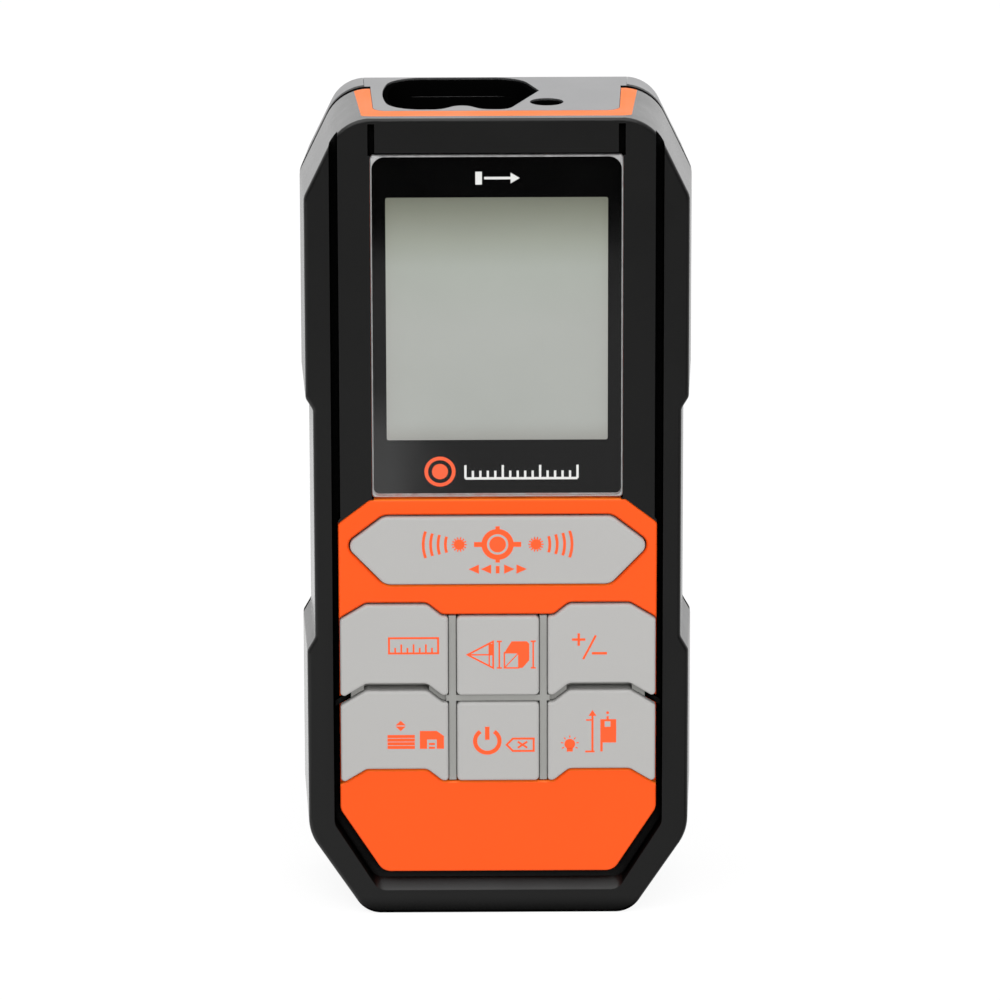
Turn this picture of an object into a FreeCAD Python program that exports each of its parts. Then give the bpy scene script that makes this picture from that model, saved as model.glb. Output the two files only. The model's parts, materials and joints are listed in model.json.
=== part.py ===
"""Hand-held laser distance meter, standing upright on its flat tail end.

Units are millimetres.  +Z runs from the tail end to the end that the laser leaves,
-Y is the face with the display and the keys, +X is to the right of that face.
The origin is the middle of the flat tail end, which is also the end that distances
are measured from.  Y = 0 is about half way through the case.
"""
import FreeCAD
import Part

import math
import os

Vector = FreeCAD.Vector

# ---------------------------------------------------------------- driving dimensions
LENGTH = 114.0
FRONT_Y = -13.0
BACK_Y = 13.5
FRONT_SHELL_END = 5.8          # a black cord fills the joint between the two shells
REAR_SHELL_START = 7.2
HALF_WIDTH = 26.3              # at the front face
FLARE = 0.9                    # how far the sides lean out between front face and groove
END_FLARE = 0.56               # the same, for the ends of the sloping corners
REAR_TAPER = 1.2               # how far the sides lean back in behind the groove
REAR_END_TAPER = 0.3           # the same, for the ends of the sloping corners
WAIST_DEPTH = 1.0              # how far the sides step in at the waist
LASER_END_SLOPE = 2.059        # rise over run of the sloping corners at the laser end
TAIL_SLOPE = 1.5               # the same, at the tail end

RUBBER = 1.2                   # soft grip moulded over the sides of the front shell
WALL = 1.6
FACE_RUBBER = 1.6              # soft grip moulded over the front face
GROOVE_DEPTH = 1.3
STRIP_GROOVE_DEPTH = 0.8       # of the grooves round the strip over the display
REAR_WALL = 1.8
PAD_THICKNESS = 1.1            # of the soft pads let into the rear shell
EDGE_ROUND = 0.5
CORD_SINK = 0.08               # how far the cord between the shells lies below their surface
BACK_ROUND = 0.8
GAP = 0.1                      # gap left round pieces that are dropped in place
BOND = 0.2                     # overlap of shapes that are fused into one
TRIM = 0.02                    # outlines run past both flat ends by this much and are cut off square
FAR = 40.0                     # well outside the case in every direction but +Z

SHELL_FACE = FRONT_Y + FACE_RUBBER            # front of the hard wall behind the rubber
SHELL_BACK = SHELL_FACE + WALL                # inside of that wall

# display
WINDOW_HALF = 17.25
WINDOW_BOTTOM = 60.6
WINDOW_TOP = 108.85
WINDOW_SINK = 0.15             # how far the window lies below the rails
MASK_MARGIN = 0.2
VIEW_HALF = 15.2
VIEW_BOTTOM = 68.35
VIEW_TOP = 102.7
CELL_FRONT = -9.7              # front of the liquid crystal cell

# keys
KEY_TRAVEL = 0.7
KEY_PROUD = 0.5                # how far the keys stand out of the panel
KEY_GAP = 0.2                  # gap round the keys in the panel
OPENING_BEVEL = 0.25           # bevel round the openings for the keys
KEY_HEIGHT = 11.4
KEY_PITCH = 12.45
ROW_TOP = 43.5                 # upper edge of the middle key of the upper row
ROW_BOTTOM = ROW_TOP - KEY_PITCH - KEY_HEIGHT
SHOULDER = 1.7                 # how much higher the outer keys reach than the middle one
SHOULDER_START = 9.85
SHOULDER_END = 18.3
CENTRE_KEY_HALF = 5.7
OUTER_KEY_START = 6.9
KEY_END = 21.85
KEY_END_DROP = 0.45            # how much lower the outer keys end than the middle one
KEYWAY_HALF = 20.4             # the keys reach through the hard wall inside this half width
OUTER_KEY_X = 14.4
PLUNGER_RADIUS = 1.6
PLUNGER_END = -8.05
COLLAR = 0.5                   # width of the collar that keeps a key in the mat
COLLAR_THICKNESS = 0.35
MAT_FRONT = SHELL_BACK + 0.1
MAT_BACK = MAT_FRONT + 0.6

# circuit board
BOARD_FRONT = -7.0
BOARD_BACK = -6.0
ON_BOARD = BOARD_BACK + 0.01   # seat of the parts on the back of the board

# batteries, two AAA cells
CELL_RADIUS = 5.25
CELL_LENGTH = 44.5
CELL_NUB = 1.0
CELL_NUB_RADIUS = 1.9
CELL_X = 5.6
CELL_Y = 5.9
CELL_BOTTOM = 8.9
BAY_HALF = 11.4
BAY_BOTTOM = 5.6
BAY_TOP = 57.2
BAY_WALL = 1.2
BAY_FLOOR = 0.3
CONTACT_LOW_Y = 1.4            # the metal contacts span this part of the bay's depth
CONTACT_HIGH_Y = 10.4
CONTACT_SHEET = 0.4
SPRING_WIRE = 0.25
SPRING_RADIUS = 2.6
SPRING_LENGTH = 2.3
SPRING_TURNS = 3
WIRE_SIDES = 10

# battery door
DOOR_HALF = 13.9
DOOR_BOTTOM = 4.0
DOOR_THICKNESS = 1.4
DOOR_INSIDE = BACK_Y - DOOR_THICKNESS
DOOR_GAP = 0.2
KNUCKLE = 1.3
HINGE_Y = BACK_Y - KNUCKLE
HINGE_Z = 60.2
HINGE_PIN = 0.7
HINGE_PIN_REACH = 1.1
LATCH_HALF = 2.9
FINGER_HALF = 4.6              # spring finger that carries the latch hook
FINGER_TOP = 13.6
FINGER_SLOT = 0.6

# optics, all parallel to Z
RECEIVER = (-4.8, 2.4)
RECEIVER_RADIUS = 8.4
LASER = (6.95, -2.75)
LASER_HOLE = 2.3
CHASSIS_TOP = 111.1
CAP_BOTTOM = 111.6
COLLAR_TOP = LENGTH - 0.3      # black collars line the two openings in the end plate
COLLAR_GAP = 0.04
RECEIVER_COLLAR_WALL = 0.7
LASER_COLLAR_WALL = 0.5
TOWER_BOTTOM = 73.0
LENS_SEAT = 107.2
DETECTOR_RADIUS = 2.7

# screws
HOUSING_SCREWS = [(20.7, 98.0), (-20.7, 98.0), (19.8, 15.5), (-19.8, 15.5)]
BOARD_SCREWS = [(20.2, 60.8), (-20.2, 60.8), (15.0, 8.6), (-15.0, 8.6)]
OPTICS_SCREWS = [(20.4, 72.0), (-20.4, 72.0), (20.4, 88.0), (-20.4, 88.0)]
SCREW_WELL_FLOOR = 8.9


# ---------------------------------------------------------------- drawing helpers
def on_front(y):
    """Return the map from an outline seen from the front, (x, z), into space."""
    return lambda u, v: Vector(u, y, v)


def on_end(z):
    """Return the map from an outline seen from the laser end, (x, y), into space."""
    return lambda u, v: Vector(u, v, z)


def mirrored(half):
    """Close the right half of an outline with its mirror image across X = 0."""
    return half + [(-u, v, r) for u, v, r in reversed(half)]


def flipped(outline):
    """Return the outline mirrored across X = 0, still running the same way round."""
    return [(-u, v, r) for u, v, r in reversed(outline)]


def rounded_wire(outline, to_space):
    """Draw a closed outline of (u, v, corner radius) with its corners rounded."""
    corners = []
    for index, (u, v, radius) in enumerate(outline):
        here = Vector(u, v, 0)
        before = Vector(*outline[index - 1][:2], 0) - here
        after = Vector(*outline[(index + 1) % len(outline)][:2], 0) - here
        before.normalize()
        after.normalize()
        half_angle = before.getAngle(after) / 2
        if radius <= 0 or half_angle > math.pi / 2 - 1e-4:
            corners.append((here, None, here))
            continue
        run = radius / math.tan(half_angle)
        inward = (before + after).normalize()
        middle = here + inward * (radius / math.sin(half_angle) - radius)
        corners.append((here + before * run, middle, here + after * run))
    edges = []
    for index, (start, middle, end) in enumerate(corners):
        last = corners[index - 1][2]
        if (start - last).Length > 1e-6:
            edges.append(Part.LineSegment(to_space(last.x, last.y), to_space(start.x, start.y)).toShape())
        if middle is not None:
            arc = Part.Arc(to_space(start.x, start.y), to_space(middle.x, middle.y), to_space(end.x, end.y))
            edges.append(arc.toShape())
    return Part.Wire(edges)


def inset(outline, distance):
    """Move every side of an outline inwards, keeping its rounded corners concentric."""
    if not distance:
        return outline
    area = 0.0
    for index, (u, v, _) in enumerate(outline):
        next_u, next_v, _ = outline[(index + 1) % len(outline)]
        area += u * next_v - next_u * v
    turn = 1.0 if area > 0 else -1.0
    moved = []
    for index, (u, v, radius) in enumerate(outline):
        previous_u, previous_v, _ = outline[index - 1]
        next_u, next_v, _ = outline[(index + 1) % len(outline)]
        first = Vector(u - previous_u, v - previous_v, 0).normalize()
        second = Vector(next_u - u, next_v - v, 0).normalize()
        normal_1 = Vector(-first.y, first.x, 0) * turn
        normal_2 = Vector(-second.y, second.x, 0) * turn
        shift = (normal_1 + normal_2) * (distance / (1 + normal_1.dot(normal_2)))
        bend = (first.x * second.y - first.y * second.x) * turn
        new_radius = max(radius - distance, 0.3) if bend > 0 else radius + distance
        moved.append((u + shift.x, v + shift.y, new_radius if radius > 0 else 0))
    return moved


def front_prism(outline, y0, y1):
    """Extrude an outline seen from the front from y0 to y1."""
    face = Part.Face(rounded_wire(outline, on_front(y0)))
    return face.extrude(Vector(0, y1 - y0, 0))


def end_prism(outline, z0, z1):
    """Extrude an outline seen from the laser end from z0 to z1."""
    face = Part.Face(rounded_wire(outline, on_end(z0)))
    return face.extrude(Vector(0, 0, z1 - z0))


def loft(outline_0, y0, outline_1, y1):
    """Join two outlines seen from the front by straight walls."""
    wires = [rounded_wire(outline_0, on_front(y0)), rounded_wire(outline_1, on_front(y1))]
    return Part.makeLoft(wires, True, True)


def box(x0, x1, y0, y1, z0, z1):
    return Part.makeBox(x1 - x0, y1 - y0, z1 - z0, Vector(x0, y0, z0))


def rod_x(y, z, radius, x0, x1):
    return Part.makeCylinder(radius, x1 - x0, Vector(x0, y, z), Vector(1, 0, 0))


def rod_y(x, z, radius, y0, y1):
    return Part.makeCylinder(radius, y1 - y0, Vector(x, y0, z), Vector(0, 1, 0))


def rod_z(x, y, radius, z0, z1):
    return Part.makeCylinder(radius, z1 - z0, Vector(x, y, z0), Vector(0, 0, 1))


def fused(shapes):
    """Fuse shapes into one and merge the faces that join smoothly."""
    return shapes[0].multiFuse(shapes[1:]).removeSplitter() if len(shapes) > 1 else shapes[0]


def rectangle(half_width, low, high, radius):
    """Return the outline of a rounded rectangle centred on X = 0."""
    return mirrored([(half_width, high, radius), (half_width, low, radius)])


def edges_at(shape, y):
    """Return the edges of a shape that lie wholly in the plane of constant Y."""
    def flat(edge):
        return max(abs(edge.BoundBox.YMin - y), abs(edge.BoundBox.YMax - y)) < 1e-4

    return [edge for edge in shape.Edges if flat(edge)]


def softened(shape, y, radius):
    """Round the edges of a shape that lie in the plane of constant Y."""
    return shape.makeFillet(radius, edges_at(shape, y))


# ---------------------------------------------------------------- case outlines
def case_outline(flare, end_flare, waist_round, laser_round=6.5):
    """Return the case seen from the front, with its sides moved out by flare."""
    side = HALF_WIDTH + flare
    waist = side - WAIST_DEPTH
    laser_end = 21.0 + end_flare
    tail_end = 18.5 + end_flare
    lower_side = side + 0.1
    return mirrored([
        (laser_end, LENGTH + TRIM, laser_round),
        (side, LENGTH - LASER_END_SLOPE * (side - laser_end), 2.5),
        (side, 74.7, waist_round),
        (waist, 73.05, waist_round),
        (waist, 40.4, waist_round),
        (lower_side, 38.5, waist_round),
        (lower_side, TAIL_SLOPE * (lower_side - tail_end), 7.0),
        (tail_end, -TRIM, 4.0),
    ])


FRONT_OUTLINE = case_outline(0.0, 0.0, 1.2)
GROOVE_OUTLINE = case_outline(FLARE, END_FLARE, 1.2)
BACK_OUTLINE = case_outline(FLARE - REAR_TAPER, END_FLARE - REAR_END_TAPER, 2.6, 5.0)

# The flat end plate and the coloured band round it, seen from the laser end.
PLATE_OUTLINE = mirrored([
    (18.4, BACK_Y + 1, 0), (18.15, REAR_SHELL_START, 0), (17.3, REAR_SHELL_START, 0),
    (17.3, FRONT_SHELL_END, 0), (16.75, -8.05, 2.0),
])
BAND_OUTLINE = mirrored([(19.65, FRONT_SHELL_END + 1, 0), (18.35, -11.3, 1.5)])

# The lower front panel and the measure key, seen from the front.
PANEL_CORNER = (22.0, 15.3, 2.0)
PANEL_END = (16.1, 6.15, 2.0)
PANEL_OUTLINE = mirrored([(17.65, 60.25, 0.6), (22.0, 56.9, 0.8), PANEL_CORNER, PANEL_END])
MEASURE_KEY_OUTLINE = mirrored([(15.75, 57.85, 2.0), (21.0, 53.8, 1.3), (15.6, 48.15, 2.0)])


def key_row_edge(z):
    """Return the right half of the upper or lower edge of a key row, from the middle out."""
    return [
        (7.75, z, 1.0), (SHOULDER_START, z + SHOULDER, 1.4),
        (SHOULDER_END, z + SHOULDER, 1.2), (KEY_END, z - KEY_END_DROP, 0.5),
    ]


def outer_key_outline(row_top):
    """Return the right-hand key of a row, seen from the front."""
    top = key_row_edge(row_top)
    bottom = key_row_edge(row_top - KEY_HEIGHT)
    inner = [(OUTER_KEY_START, row_top - KEY_HEIGHT, 0.45), (OUTER_KEY_START, row_top, 0.45)]
    return top + bottom[::-1] + inner


def row_strip(upper_z, lower_z, half_width):
    """Return the outline between two key-row edges, cut off at half_width."""
    slope = (SHOULDER + KEY_END_DROP) / (KEY_END - SHOULDER_END)
    drop = slope * (half_width - SHOULDER_END)
    upper = key_row_edge(upper_z)
    lower = key_row_edge(lower_z)
    ends = [(half_width, upper_z + SHOULDER - drop, 0), (half_width, lower_z + SHOULDER - drop, 0)]
    return mirrored(upper[:3] + ends + lower[2::-1])


def keypad_opening(margin, half_width):
    """Return the opening that all six small keys share, seen from the front."""
    return row_strip(ROW_TOP + margin, ROW_BOTTOM - margin, half_width)


def row_gap(half_width):
    """Return the gap between the two rows of small keys, seen from the front."""
    return row_strip(ROW_TOP - KEY_HEIGHT - GAP, ROW_TOP - KEY_PITCH + GAP, half_width)


# ---------------------------------------------------------------- case solids
def front_case(depth_in, y0):
    """Return the front half of the case, inset by depth_in and starting at y0."""
    run = (y0 - FRONT_Y) / (FRONT_SHELL_END - FRONT_Y)
    start = case_outline(FLARE * run, END_FLARE * run, 1.2)
    return loft(inset(start, depth_in), y0, inset(GROOVE_OUTLINE, depth_in), FRONT_SHELL_END)


def rear_case(depth_in, y1):
    """Return the rear half of the case, inset by depth_in and ending at y1."""
    return loft(inset(GROOVE_OUTLINE, depth_in), REAR_SHELL_START, inset(BACK_OUTLINE, depth_in), y1)


def rear_block():
    """Return the solid rear half with its back edge rounded."""
    return softened(rear_case(0, BACK_Y), BACK_Y, BACK_ROUND)


def trimmed(shape):
    """Cut a shape off square at the two flat ends of the meter."""
    return shape.common(box(-FAR, FAR, -FAR, FAR, 0, LENGTH))


def end_plate_block(clearance, bottom):
    """Return the column above the end plate, from bottom up past the end of the case."""
    return end_prism(inset(PLATE_OUTLINE, -clearance), bottom, LENGTH + 1)


def face_groove():
    """Return the groove between the rim and the raised middle of the front face."""
    floor = FRONT_Y + GROOVE_DEPTH
    top = LENGTH + 10
    rim = mirrored([(22.85, top, 0), (22.85, 13.2, 2.0), (16.75, 3.4, 2.0)])
    foot = mirrored([(22.75, top, 0), (22.75, 13.9, 2.0), (17.2, 5.0, 2.0)])
    middle = mirrored([(21.65, top + 1, 0), (21.65, 57.6, 0), (21.95, 57.3, 0), PANEL_CORNER, PANEL_END])
    groove = loft(rim, FRONT_Y, foot, floor).fuse(front_prism(rim, FRONT_Y - 1, FRONT_Y))
    return groove.cut(front_prism(middle, FRONT_Y - 2, floor + 1))


def receiver_opening(grow):
    """Return the receiver opening in the end plate, moved outwards by grow, seen from the laser end."""
    outline = [
        (3.4, 12.6, 5.0), (-14.4, 12.6, 5.0), (-16.1, 2.7, 33.0), (-14.4, -7.3, 5.0), (-7.6, -7.3, 2.6),
        (-4.65, -3.9, 1.8), (-1.9, -7.3, 2.6), (1.7, -7.3, 2.0), (6.0, 4.3, 0.4),
    ]
    return inset(outline, -grow)


# ---------------------------------------------------------------- outer pieces
def bevelled_opening(outline):
    """Return the cutter for an opening through the raised panel, with a bevel at the front."""
    hole = front_prism(outline, FRONT_Y - 1, SHELL_FACE)
    wide = inset(outline, -2 * OPENING_BEVEL)
    return hole.fuse(loft(wide, FRONT_Y - OPENING_BEVEL, outline, FRONT_Y + OPENING_BEVEL))


def make_front_housing():
    """Hard front shell: side walls, face wall, raised lower panel and the band at the end."""
    shell = front_case(RUBBER, SHELL_FACE).cut(front_case(RUBBER + WALL, SHELL_BACK))
    panel = softened(front_prism(PANEL_OUTLINE, FRONT_Y, SHELL_FACE), FRONT_Y, 0.4)
    band = end_prism(BAND_OUTLINE, LENGTH - RUBBER - WALL, LENGTH + 1).common(front_case(0, FRONT_Y))
    body = fused([shell, panel, band])
    boss_start = SHELL_BACK - BOND
    bosses = [rod_y(x, z, 2.5, boss_start, FRONT_SHELL_END) for x, z in HOUSING_SCREWS]
    bosses += [rod_y(x, z, 1.9, boss_start, BOARD_FRONT) for x, z in BOARD_SCREWS + OPTICS_SCREWS]
    bosses = [boss.common(front_case(RUBBER + BOND, SHELL_FACE)) for boss in bosses]
    body = fused([body] + bosses)
    measure_opening = inset(MEASURE_KEY_OUTLINE, -KEY_GAP)
    cuts = [end_plate_block(GAP / 2, CAP_BOTTOM - GAP)]
    cuts.append(end_plate_block(0, CHASSIS_TOP - 3.0))
    cuts.append(front_prism(rectangle(15.8, 66.0, 105.4, 1.0), SHELL_FACE - 1, SHELL_BACK + 1))
    cuts.append(front_prism(measure_opening, SHELL_FACE - 1, SHELL_BACK + 1))
    cuts.append(bevelled_opening(measure_opening))
    cuts.append(bevelled_opening(keypad_opening(KEY_GAP, 23.0)))
    cuts.append(front_prism(keypad_opening(KEY_GAP, KEYWAY_HALF + 0.2), SHELL_FACE - 1, SHELL_BACK + 1))
    cuts += [rod_y(x, z, 1.0, -6.0, FRONT_SHELL_END + 1) for x, z in HOUSING_SCREWS]
    cuts += [rod_y(x, z, 0.8, SHELL_BACK - 0.4, BOARD_FRONT + 1) for x, z in BOARD_SCREWS + OPTICS_SCREWS]
    return trimmed(body.cut(cuts[0].multiFuse(cuts[1:])))


def make_front_grip(housing):
    """Soft black grip moulded over the front shell: sides, rim, rails and the strip over the display."""
    body = softened(front_case(0, FRONT_Y), FRONT_Y, EDGE_ROUND)
    body = body.cut(front_case(RUBBER, SHELL_FACE))
    display_well = rectangle(WINDOW_HALF + 0.05, WINDOW_BOTTOM - 0.35, WINDOW_TOP + 0.05, 0.4)
    strip_groove = FRONT_Y + STRIP_GROOVE_DEPTH
    cuts = [face_groove()]
    cuts.append(front_prism(inset(PANEL_OUTLINE, -0.02), FRONT_Y - 1, SHELL_FACE + 1))
    cuts.append(front_prism(display_well, FRONT_Y - 1, SHELL_FACE + 1))
    cuts.append(box(-WINDOW_HALF, WINDOW_HALF, FRONT_Y - 1, strip_groove, WINDOW_TOP, WINDOW_TOP + 0.4))
    for side in (-1, 1):
        x0, x1 = sorted((side * 16.6, side * 17.55))
        cuts.append(box(x0, x1, FRONT_Y - 1, strip_groove, WINDOW_TOP, LENGTH - 0.7))
    cuts.append(end_prism(BAND_OUTLINE, LENGTH - RUBBER - WALL, LENGTH + 1))
    cuts.append(end_plate_block(GAP / 2, CAP_BOTTOM - GAP))
    body = body.cut(cuts[0].multiFuse(cuts[1:]))
    plugs = front_prism(row_gap(22.6), SHELL_FACE - 0.9, SHELL_FACE)
    plugs = plugs.cut(box(-KEYWAY_HALF - 0.1, KEYWAY_HALF + 0.1, FRONT_Y, 0, 0, FAR))
    return trimmed(body.fuse(plugs).cut(housing))


def make_end_cap():
    """Grey end plate with the receiver opening and the hole for the laser beam."""
    front_half = front_case(0, FRONT_Y)
    bridge = loft(GROOVE_OUTLINE, FRONT_SHELL_END, GROOVE_OUTLINE, REAR_SHELL_START)
    case = front_half.multiFuse([bridge, rear_block()])
    plate = end_prism(PLATE_OUTLINE, CAP_BOTTOM, LENGTH + 1).common(case)
    plate = plate.cut(end_prism(receiver_opening(0), CAP_BOTTOM - 1, LENGTH + 1))
    plate = plate.cut(rod_z(*LASER, LASER_HOLE, CAP_BOTTOM - 1, LENGTH + 1))
    return trimmed(plate).removeSplitter()


def make_housing_gasket():
    """Rubber cord that seals the joint between the two shells and shows as a black line round the case."""
    outer = inset(GROOVE_OUTLINE, CORD_SINK)
    inner = inset(GROOVE_OUTLINE, RUBBER + WALL)
    ring = front_prism(outer, FRONT_SHELL_END, REAR_SHELL_START)
    ring = ring.cut(front_prism(inner, FRONT_SHELL_END - 1, REAR_SHELL_START + 1))
    return ring.cut(end_plate_block(GAP, CHASSIS_TOP - 3.0))


def grip_region(side):
    """Return the block that holds the soft pad on one side of the rear shell."""
    outline = [(15.4, 79.0, 3.0), (30.0, 86.0, 0), (30.0, 27.0, 0), (15.4, 34.0, 3.0)]
    outline = outline if side > 0 else flipped(outline)
    return front_prism(outline, REAR_SHELL_START + 1.0, BACK_Y + 1)


def grip_grooves(side):
    """Return the row of finger grooves across the back of a soft pad."""
    x0, x1 = sorted((side * 17.6, side * 24.2))
    return [rod_x(BACK_Y + 0.3, 40.0 + step * 4.2, 0.9, x0, x1) for step in range(9)]


def pad_block(side):
    """Return the soft pad on one side of the rear shell, before its grooves are cut."""
    skin = rear_block().cut(rear_case(PAD_THICKNESS, BACK_Y - PAD_THICKNESS))
    return skin.common(grip_region(side))


def make_rear_grip(side):
    """Soft pad let into the rear shell, with finger grooves."""
    grooves = grip_grooves(side)
    return pad_block(side).cut(grooves[0].multiFuse(grooves[1:]))


def door_recess():
    """Return the cutter for the battery door, its knuckle and its hinge pins in the rear shell."""
    half = DOOR_HALF + DOOR_GAP
    plate = front_prism(rectangle(half, DOOR_BOTTOM - DOOR_GAP, HINGE_Z, 1.5), DOOR_INSIDE - GAP, BACK_Y + 1)
    upper = box(-half, half, DOOR_INSIDE - GAP, BACK_Y + 1, HINGE_Z - 10, HINGE_Z + KNUCKLE + DOOR_GAP)
    knuckle = rod_x(HINGE_Y, HINGE_Z, KNUCKLE + DOOR_GAP, -half, half)
    pin_half = DOOR_HALF + HINGE_PIN_REACH + DOOR_GAP
    pins = rod_x(HINGE_Y, HINGE_Z, HINGE_PIN + 0.05, -pin_half, pin_half)
    return plate.multiFuse([upper, knuckle, pins])


def make_rear_housing():
    """Grey rear shell with the battery bay, the screw wells and the frame of the battery door."""
    body = rear_block().cut(rear_case(REAR_WALL, BACK_Y - REAR_WALL))
    bay_half = BAY_HALF + BAY_WALL
    bay = box(-bay_half, bay_half, BAY_FLOOR - BAY_WALL, BACK_Y - 1,
              BAY_BOTTOM - BAY_WALL, BAY_TOP + BAY_WALL)
    frame = box(-16.0, 16.0, BACK_Y - 4.2, BACK_Y - 0.4, 2.4, 63.4)
    wells = [rod_y(x, z, 3.2, REAR_SHELL_START, BACK_Y - 0.3) for x, z in HOUSING_SCREWS]
    wells = [well.common(rear_block()) for well in wells]
    body = fused([body, bay, frame] + wells)
    cuts = [door_recess()]
    cuts.append(box(-BAY_HALF, BAY_HALF, BAY_FLOOR, BACK_Y + 1, BAY_BOTTOM, BAY_TOP))
    latch_half = LATCH_HALF + 0.3
    cuts.append(box(-latch_half, latch_half, DOOR_INSIDE - 1.4, BACK_Y + 1,
                    BAY_BOTTOM - BAY_WALL - GAP, BAY_BOTTOM + 1))
    for x, z in HOUSING_SCREWS:
        cuts.append(rod_y(x, z, 1.15, 0, BACK_Y + 1))
        cuts.append(rod_y(x, z, 2.1, SCREW_WELL_FLOOR, BACK_Y + 1))
    cuts.append(end_plate_block(GAP / 2, CAP_BOTTOM - GAP))
    cuts.append(front_prism(rectangle(13.0, 68.0, 94.0, 2.0), BACK_Y - 0.25, BACK_Y + 1))
    cuts += [pad_block(side) for side in (-1, 1)]
    return trimmed(body.cut(cuts[0].multiFuse(cuts[1:])))


def make_battery_door():
    """Battery door: it swings on two short pins at its upper edge and has a spring finger below."""
    plate = front_prism(rectangle(DOOR_HALF, DOOR_BOTTOM, HINGE_Z, 1.3), DOOR_INSIDE, BACK_Y)
    plate = softened(plate, BACK_Y, 0.25)
    plate = plate.fuse(box(-DOOR_HALF, DOOR_HALF, DOOR_INSIDE, BACK_Y, HINGE_Z - 10, HINGE_Z))
    knuckle = rod_x(HINGE_Y, HINGE_Z, KNUCKLE, -DOOR_HALF, DOOR_HALF)
    pins = rod_x(HINGE_Y, HINGE_Z, HINGE_PIN, -DOOR_HALF - HINGE_PIN_REACH, DOOR_HALF + HINGE_PIN_REACH)
    hook = box(-LATCH_HALF, LATCH_HALF, DOOR_INSIDE - 1.1, DOOR_INSIDE + BOND,
               BAY_BOTTOM - 1.0, BAY_BOTTOM + 0.4)
    door = fused([plate, knuckle, pins, hook])
    slot_outer = rectangle(FINGER_HALF + FINGER_SLOT, DOOR_BOTTOM - 3, FINGER_TOP + FINGER_SLOT, 1.2)
    slot_inner = rectangle(FINGER_HALF, DOOR_BOTTOM - 4, FINGER_TOP, 0.9)
    slot = front_prism(slot_outer, DOOR_INSIDE - 1, BACK_Y + 1)
    slot = slot.cut(front_prism(slot_inner, DOOR_INSIDE - 2, BACK_Y + 2))
    slot = slot.cut(box(-3.0, 3.0, 0, FAR, FINGER_TOP - 1.6, FINGER_TOP + 2))
    grooves = [rod_x(BACK_Y + 0.45, 6.4 + 1.5 * step, 0.75, -3.2, 3.2) for step in range(4)]
    return door.cut(slot.multiFuse(grooves))


# ---------------------------------------------------------------- display
def make_display_window():
    """Clear window that lies level with the rails."""
    outline = rectangle(WINDOW_HALF, WINDOW_BOTTOM, WINDOW_TOP, 0.5)
    front = FRONT_Y + WINDOW_SINK
    window = front_prism(outline, front, SHELL_FACE - 0.25)
    return window.makeChamfer(0.15, edges_at(window, front))


def make_display_gasket():
    """Black adhesive frame behind the window, which hides all but the viewing area."""
    half = WINDOW_HALF - MASK_MARGIN
    outline = mirrored([(half, WINDOW_TOP - MASK_MARGIN, 1.8), (half, WINDOW_BOTTOM + MASK_MARGIN, 0.8)])
    outer = front_prism(outline, SHELL_FACE - 0.24, SHELL_FACE - 0.01)
    hole = front_prism(rectangle(VIEW_HALF, VIEW_BOTTOM, VIEW_TOP, 0.3), SHELL_FACE - 1, SHELL_FACE + 1)
    return outer.cut(hole)


def make_lcd_panel():
    """Liquid crystal cell: two glass plates, the front one shorter to bare the contact ledge."""
    rear = box(-16.5, 16.5, CELL_FRONT + 0.9, CELL_FRONT + 1.8, 64.6, 106.4)
    front = box(-16.5, 16.5, CELL_FRONT, CELL_FRONT + 0.9, 67.6, 106.4)
    return fused([rear, front])


def make_lcd_backlight():
    """White light guide behind the liquid crystal cell."""
    return box(-16.2, 16.2, CELL_FRONT + 1.85, BOARD_FRONT - 0.05, 68.4, 106.2)


def make_lcd_frame():
    """Frame that holds the cell and the light guide on the board."""
    outer = box(-17.9, 17.9, CELL_FRONT, BOARD_FRONT - 0.02, 63.3, 107.4)
    inner = box(-16.6, 16.6, CELL_FRONT - 1, BOARD_FRONT + 1, 64.5, 106.5)
    return outer.cut(inner)


def make_lcd_connector():
    """Zebra strip that joins the contact ledge of the cell to the board."""
    return box(-14.5, 14.5, CELL_FRONT + 1.82, BOARD_FRONT - 0.02, 64.9, 67.3)


# ---------------------------------------------------------------- keys
KEY_ROWS = [("unit_key", "function_key", "plus_minus_key"), ("memory_key", "power_key", "reference_key")]


def key_centres():
    """Return name to (x, z) of the plunger of each key."""
    centres = {"measure_key": (0.0, 53.2)}
    for row, names in enumerate(KEY_ROWS):
        z = ROW_TOP - KEY_HEIGHT / 2 - row * KEY_PITCH
        for name, x in zip(names, (-OUTER_KEY_X, 0.0, OUTER_KEY_X)):
            centres[name] = (x, z if x == 0 else z + SHOULDER / 2)
    return centres


def key_cap(outline, skirt_outline, centre):
    """Build one key: cap, skirt that guides it in the opening, plunger and the collar that keeps it in."""
    top = FRONT_Y - KEY_PROUD
    ledge = SHELL_FACE - KEY_TRAVEL - GAP
    skirt_end = MAT_FRONT - KEY_TRAVEL - GAP
    collar_start = MAT_BACK + GAP
    cap = softened(front_prism(outline, top, ledge), top, 0.4)
    skirt = front_prism(skirt_outline, ledge - BOND, skirt_end)
    plunger = rod_y(*centre, PLUNGER_RADIUS, skirt_end - BOND, PLUNGER_END)
    collar = rod_y(*centre, PLUNGER_RADIUS + COLLAR, collar_start, collar_start + COLLAR_THICKNESS)
    return fused([cap, skirt, plunger, collar])


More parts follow.
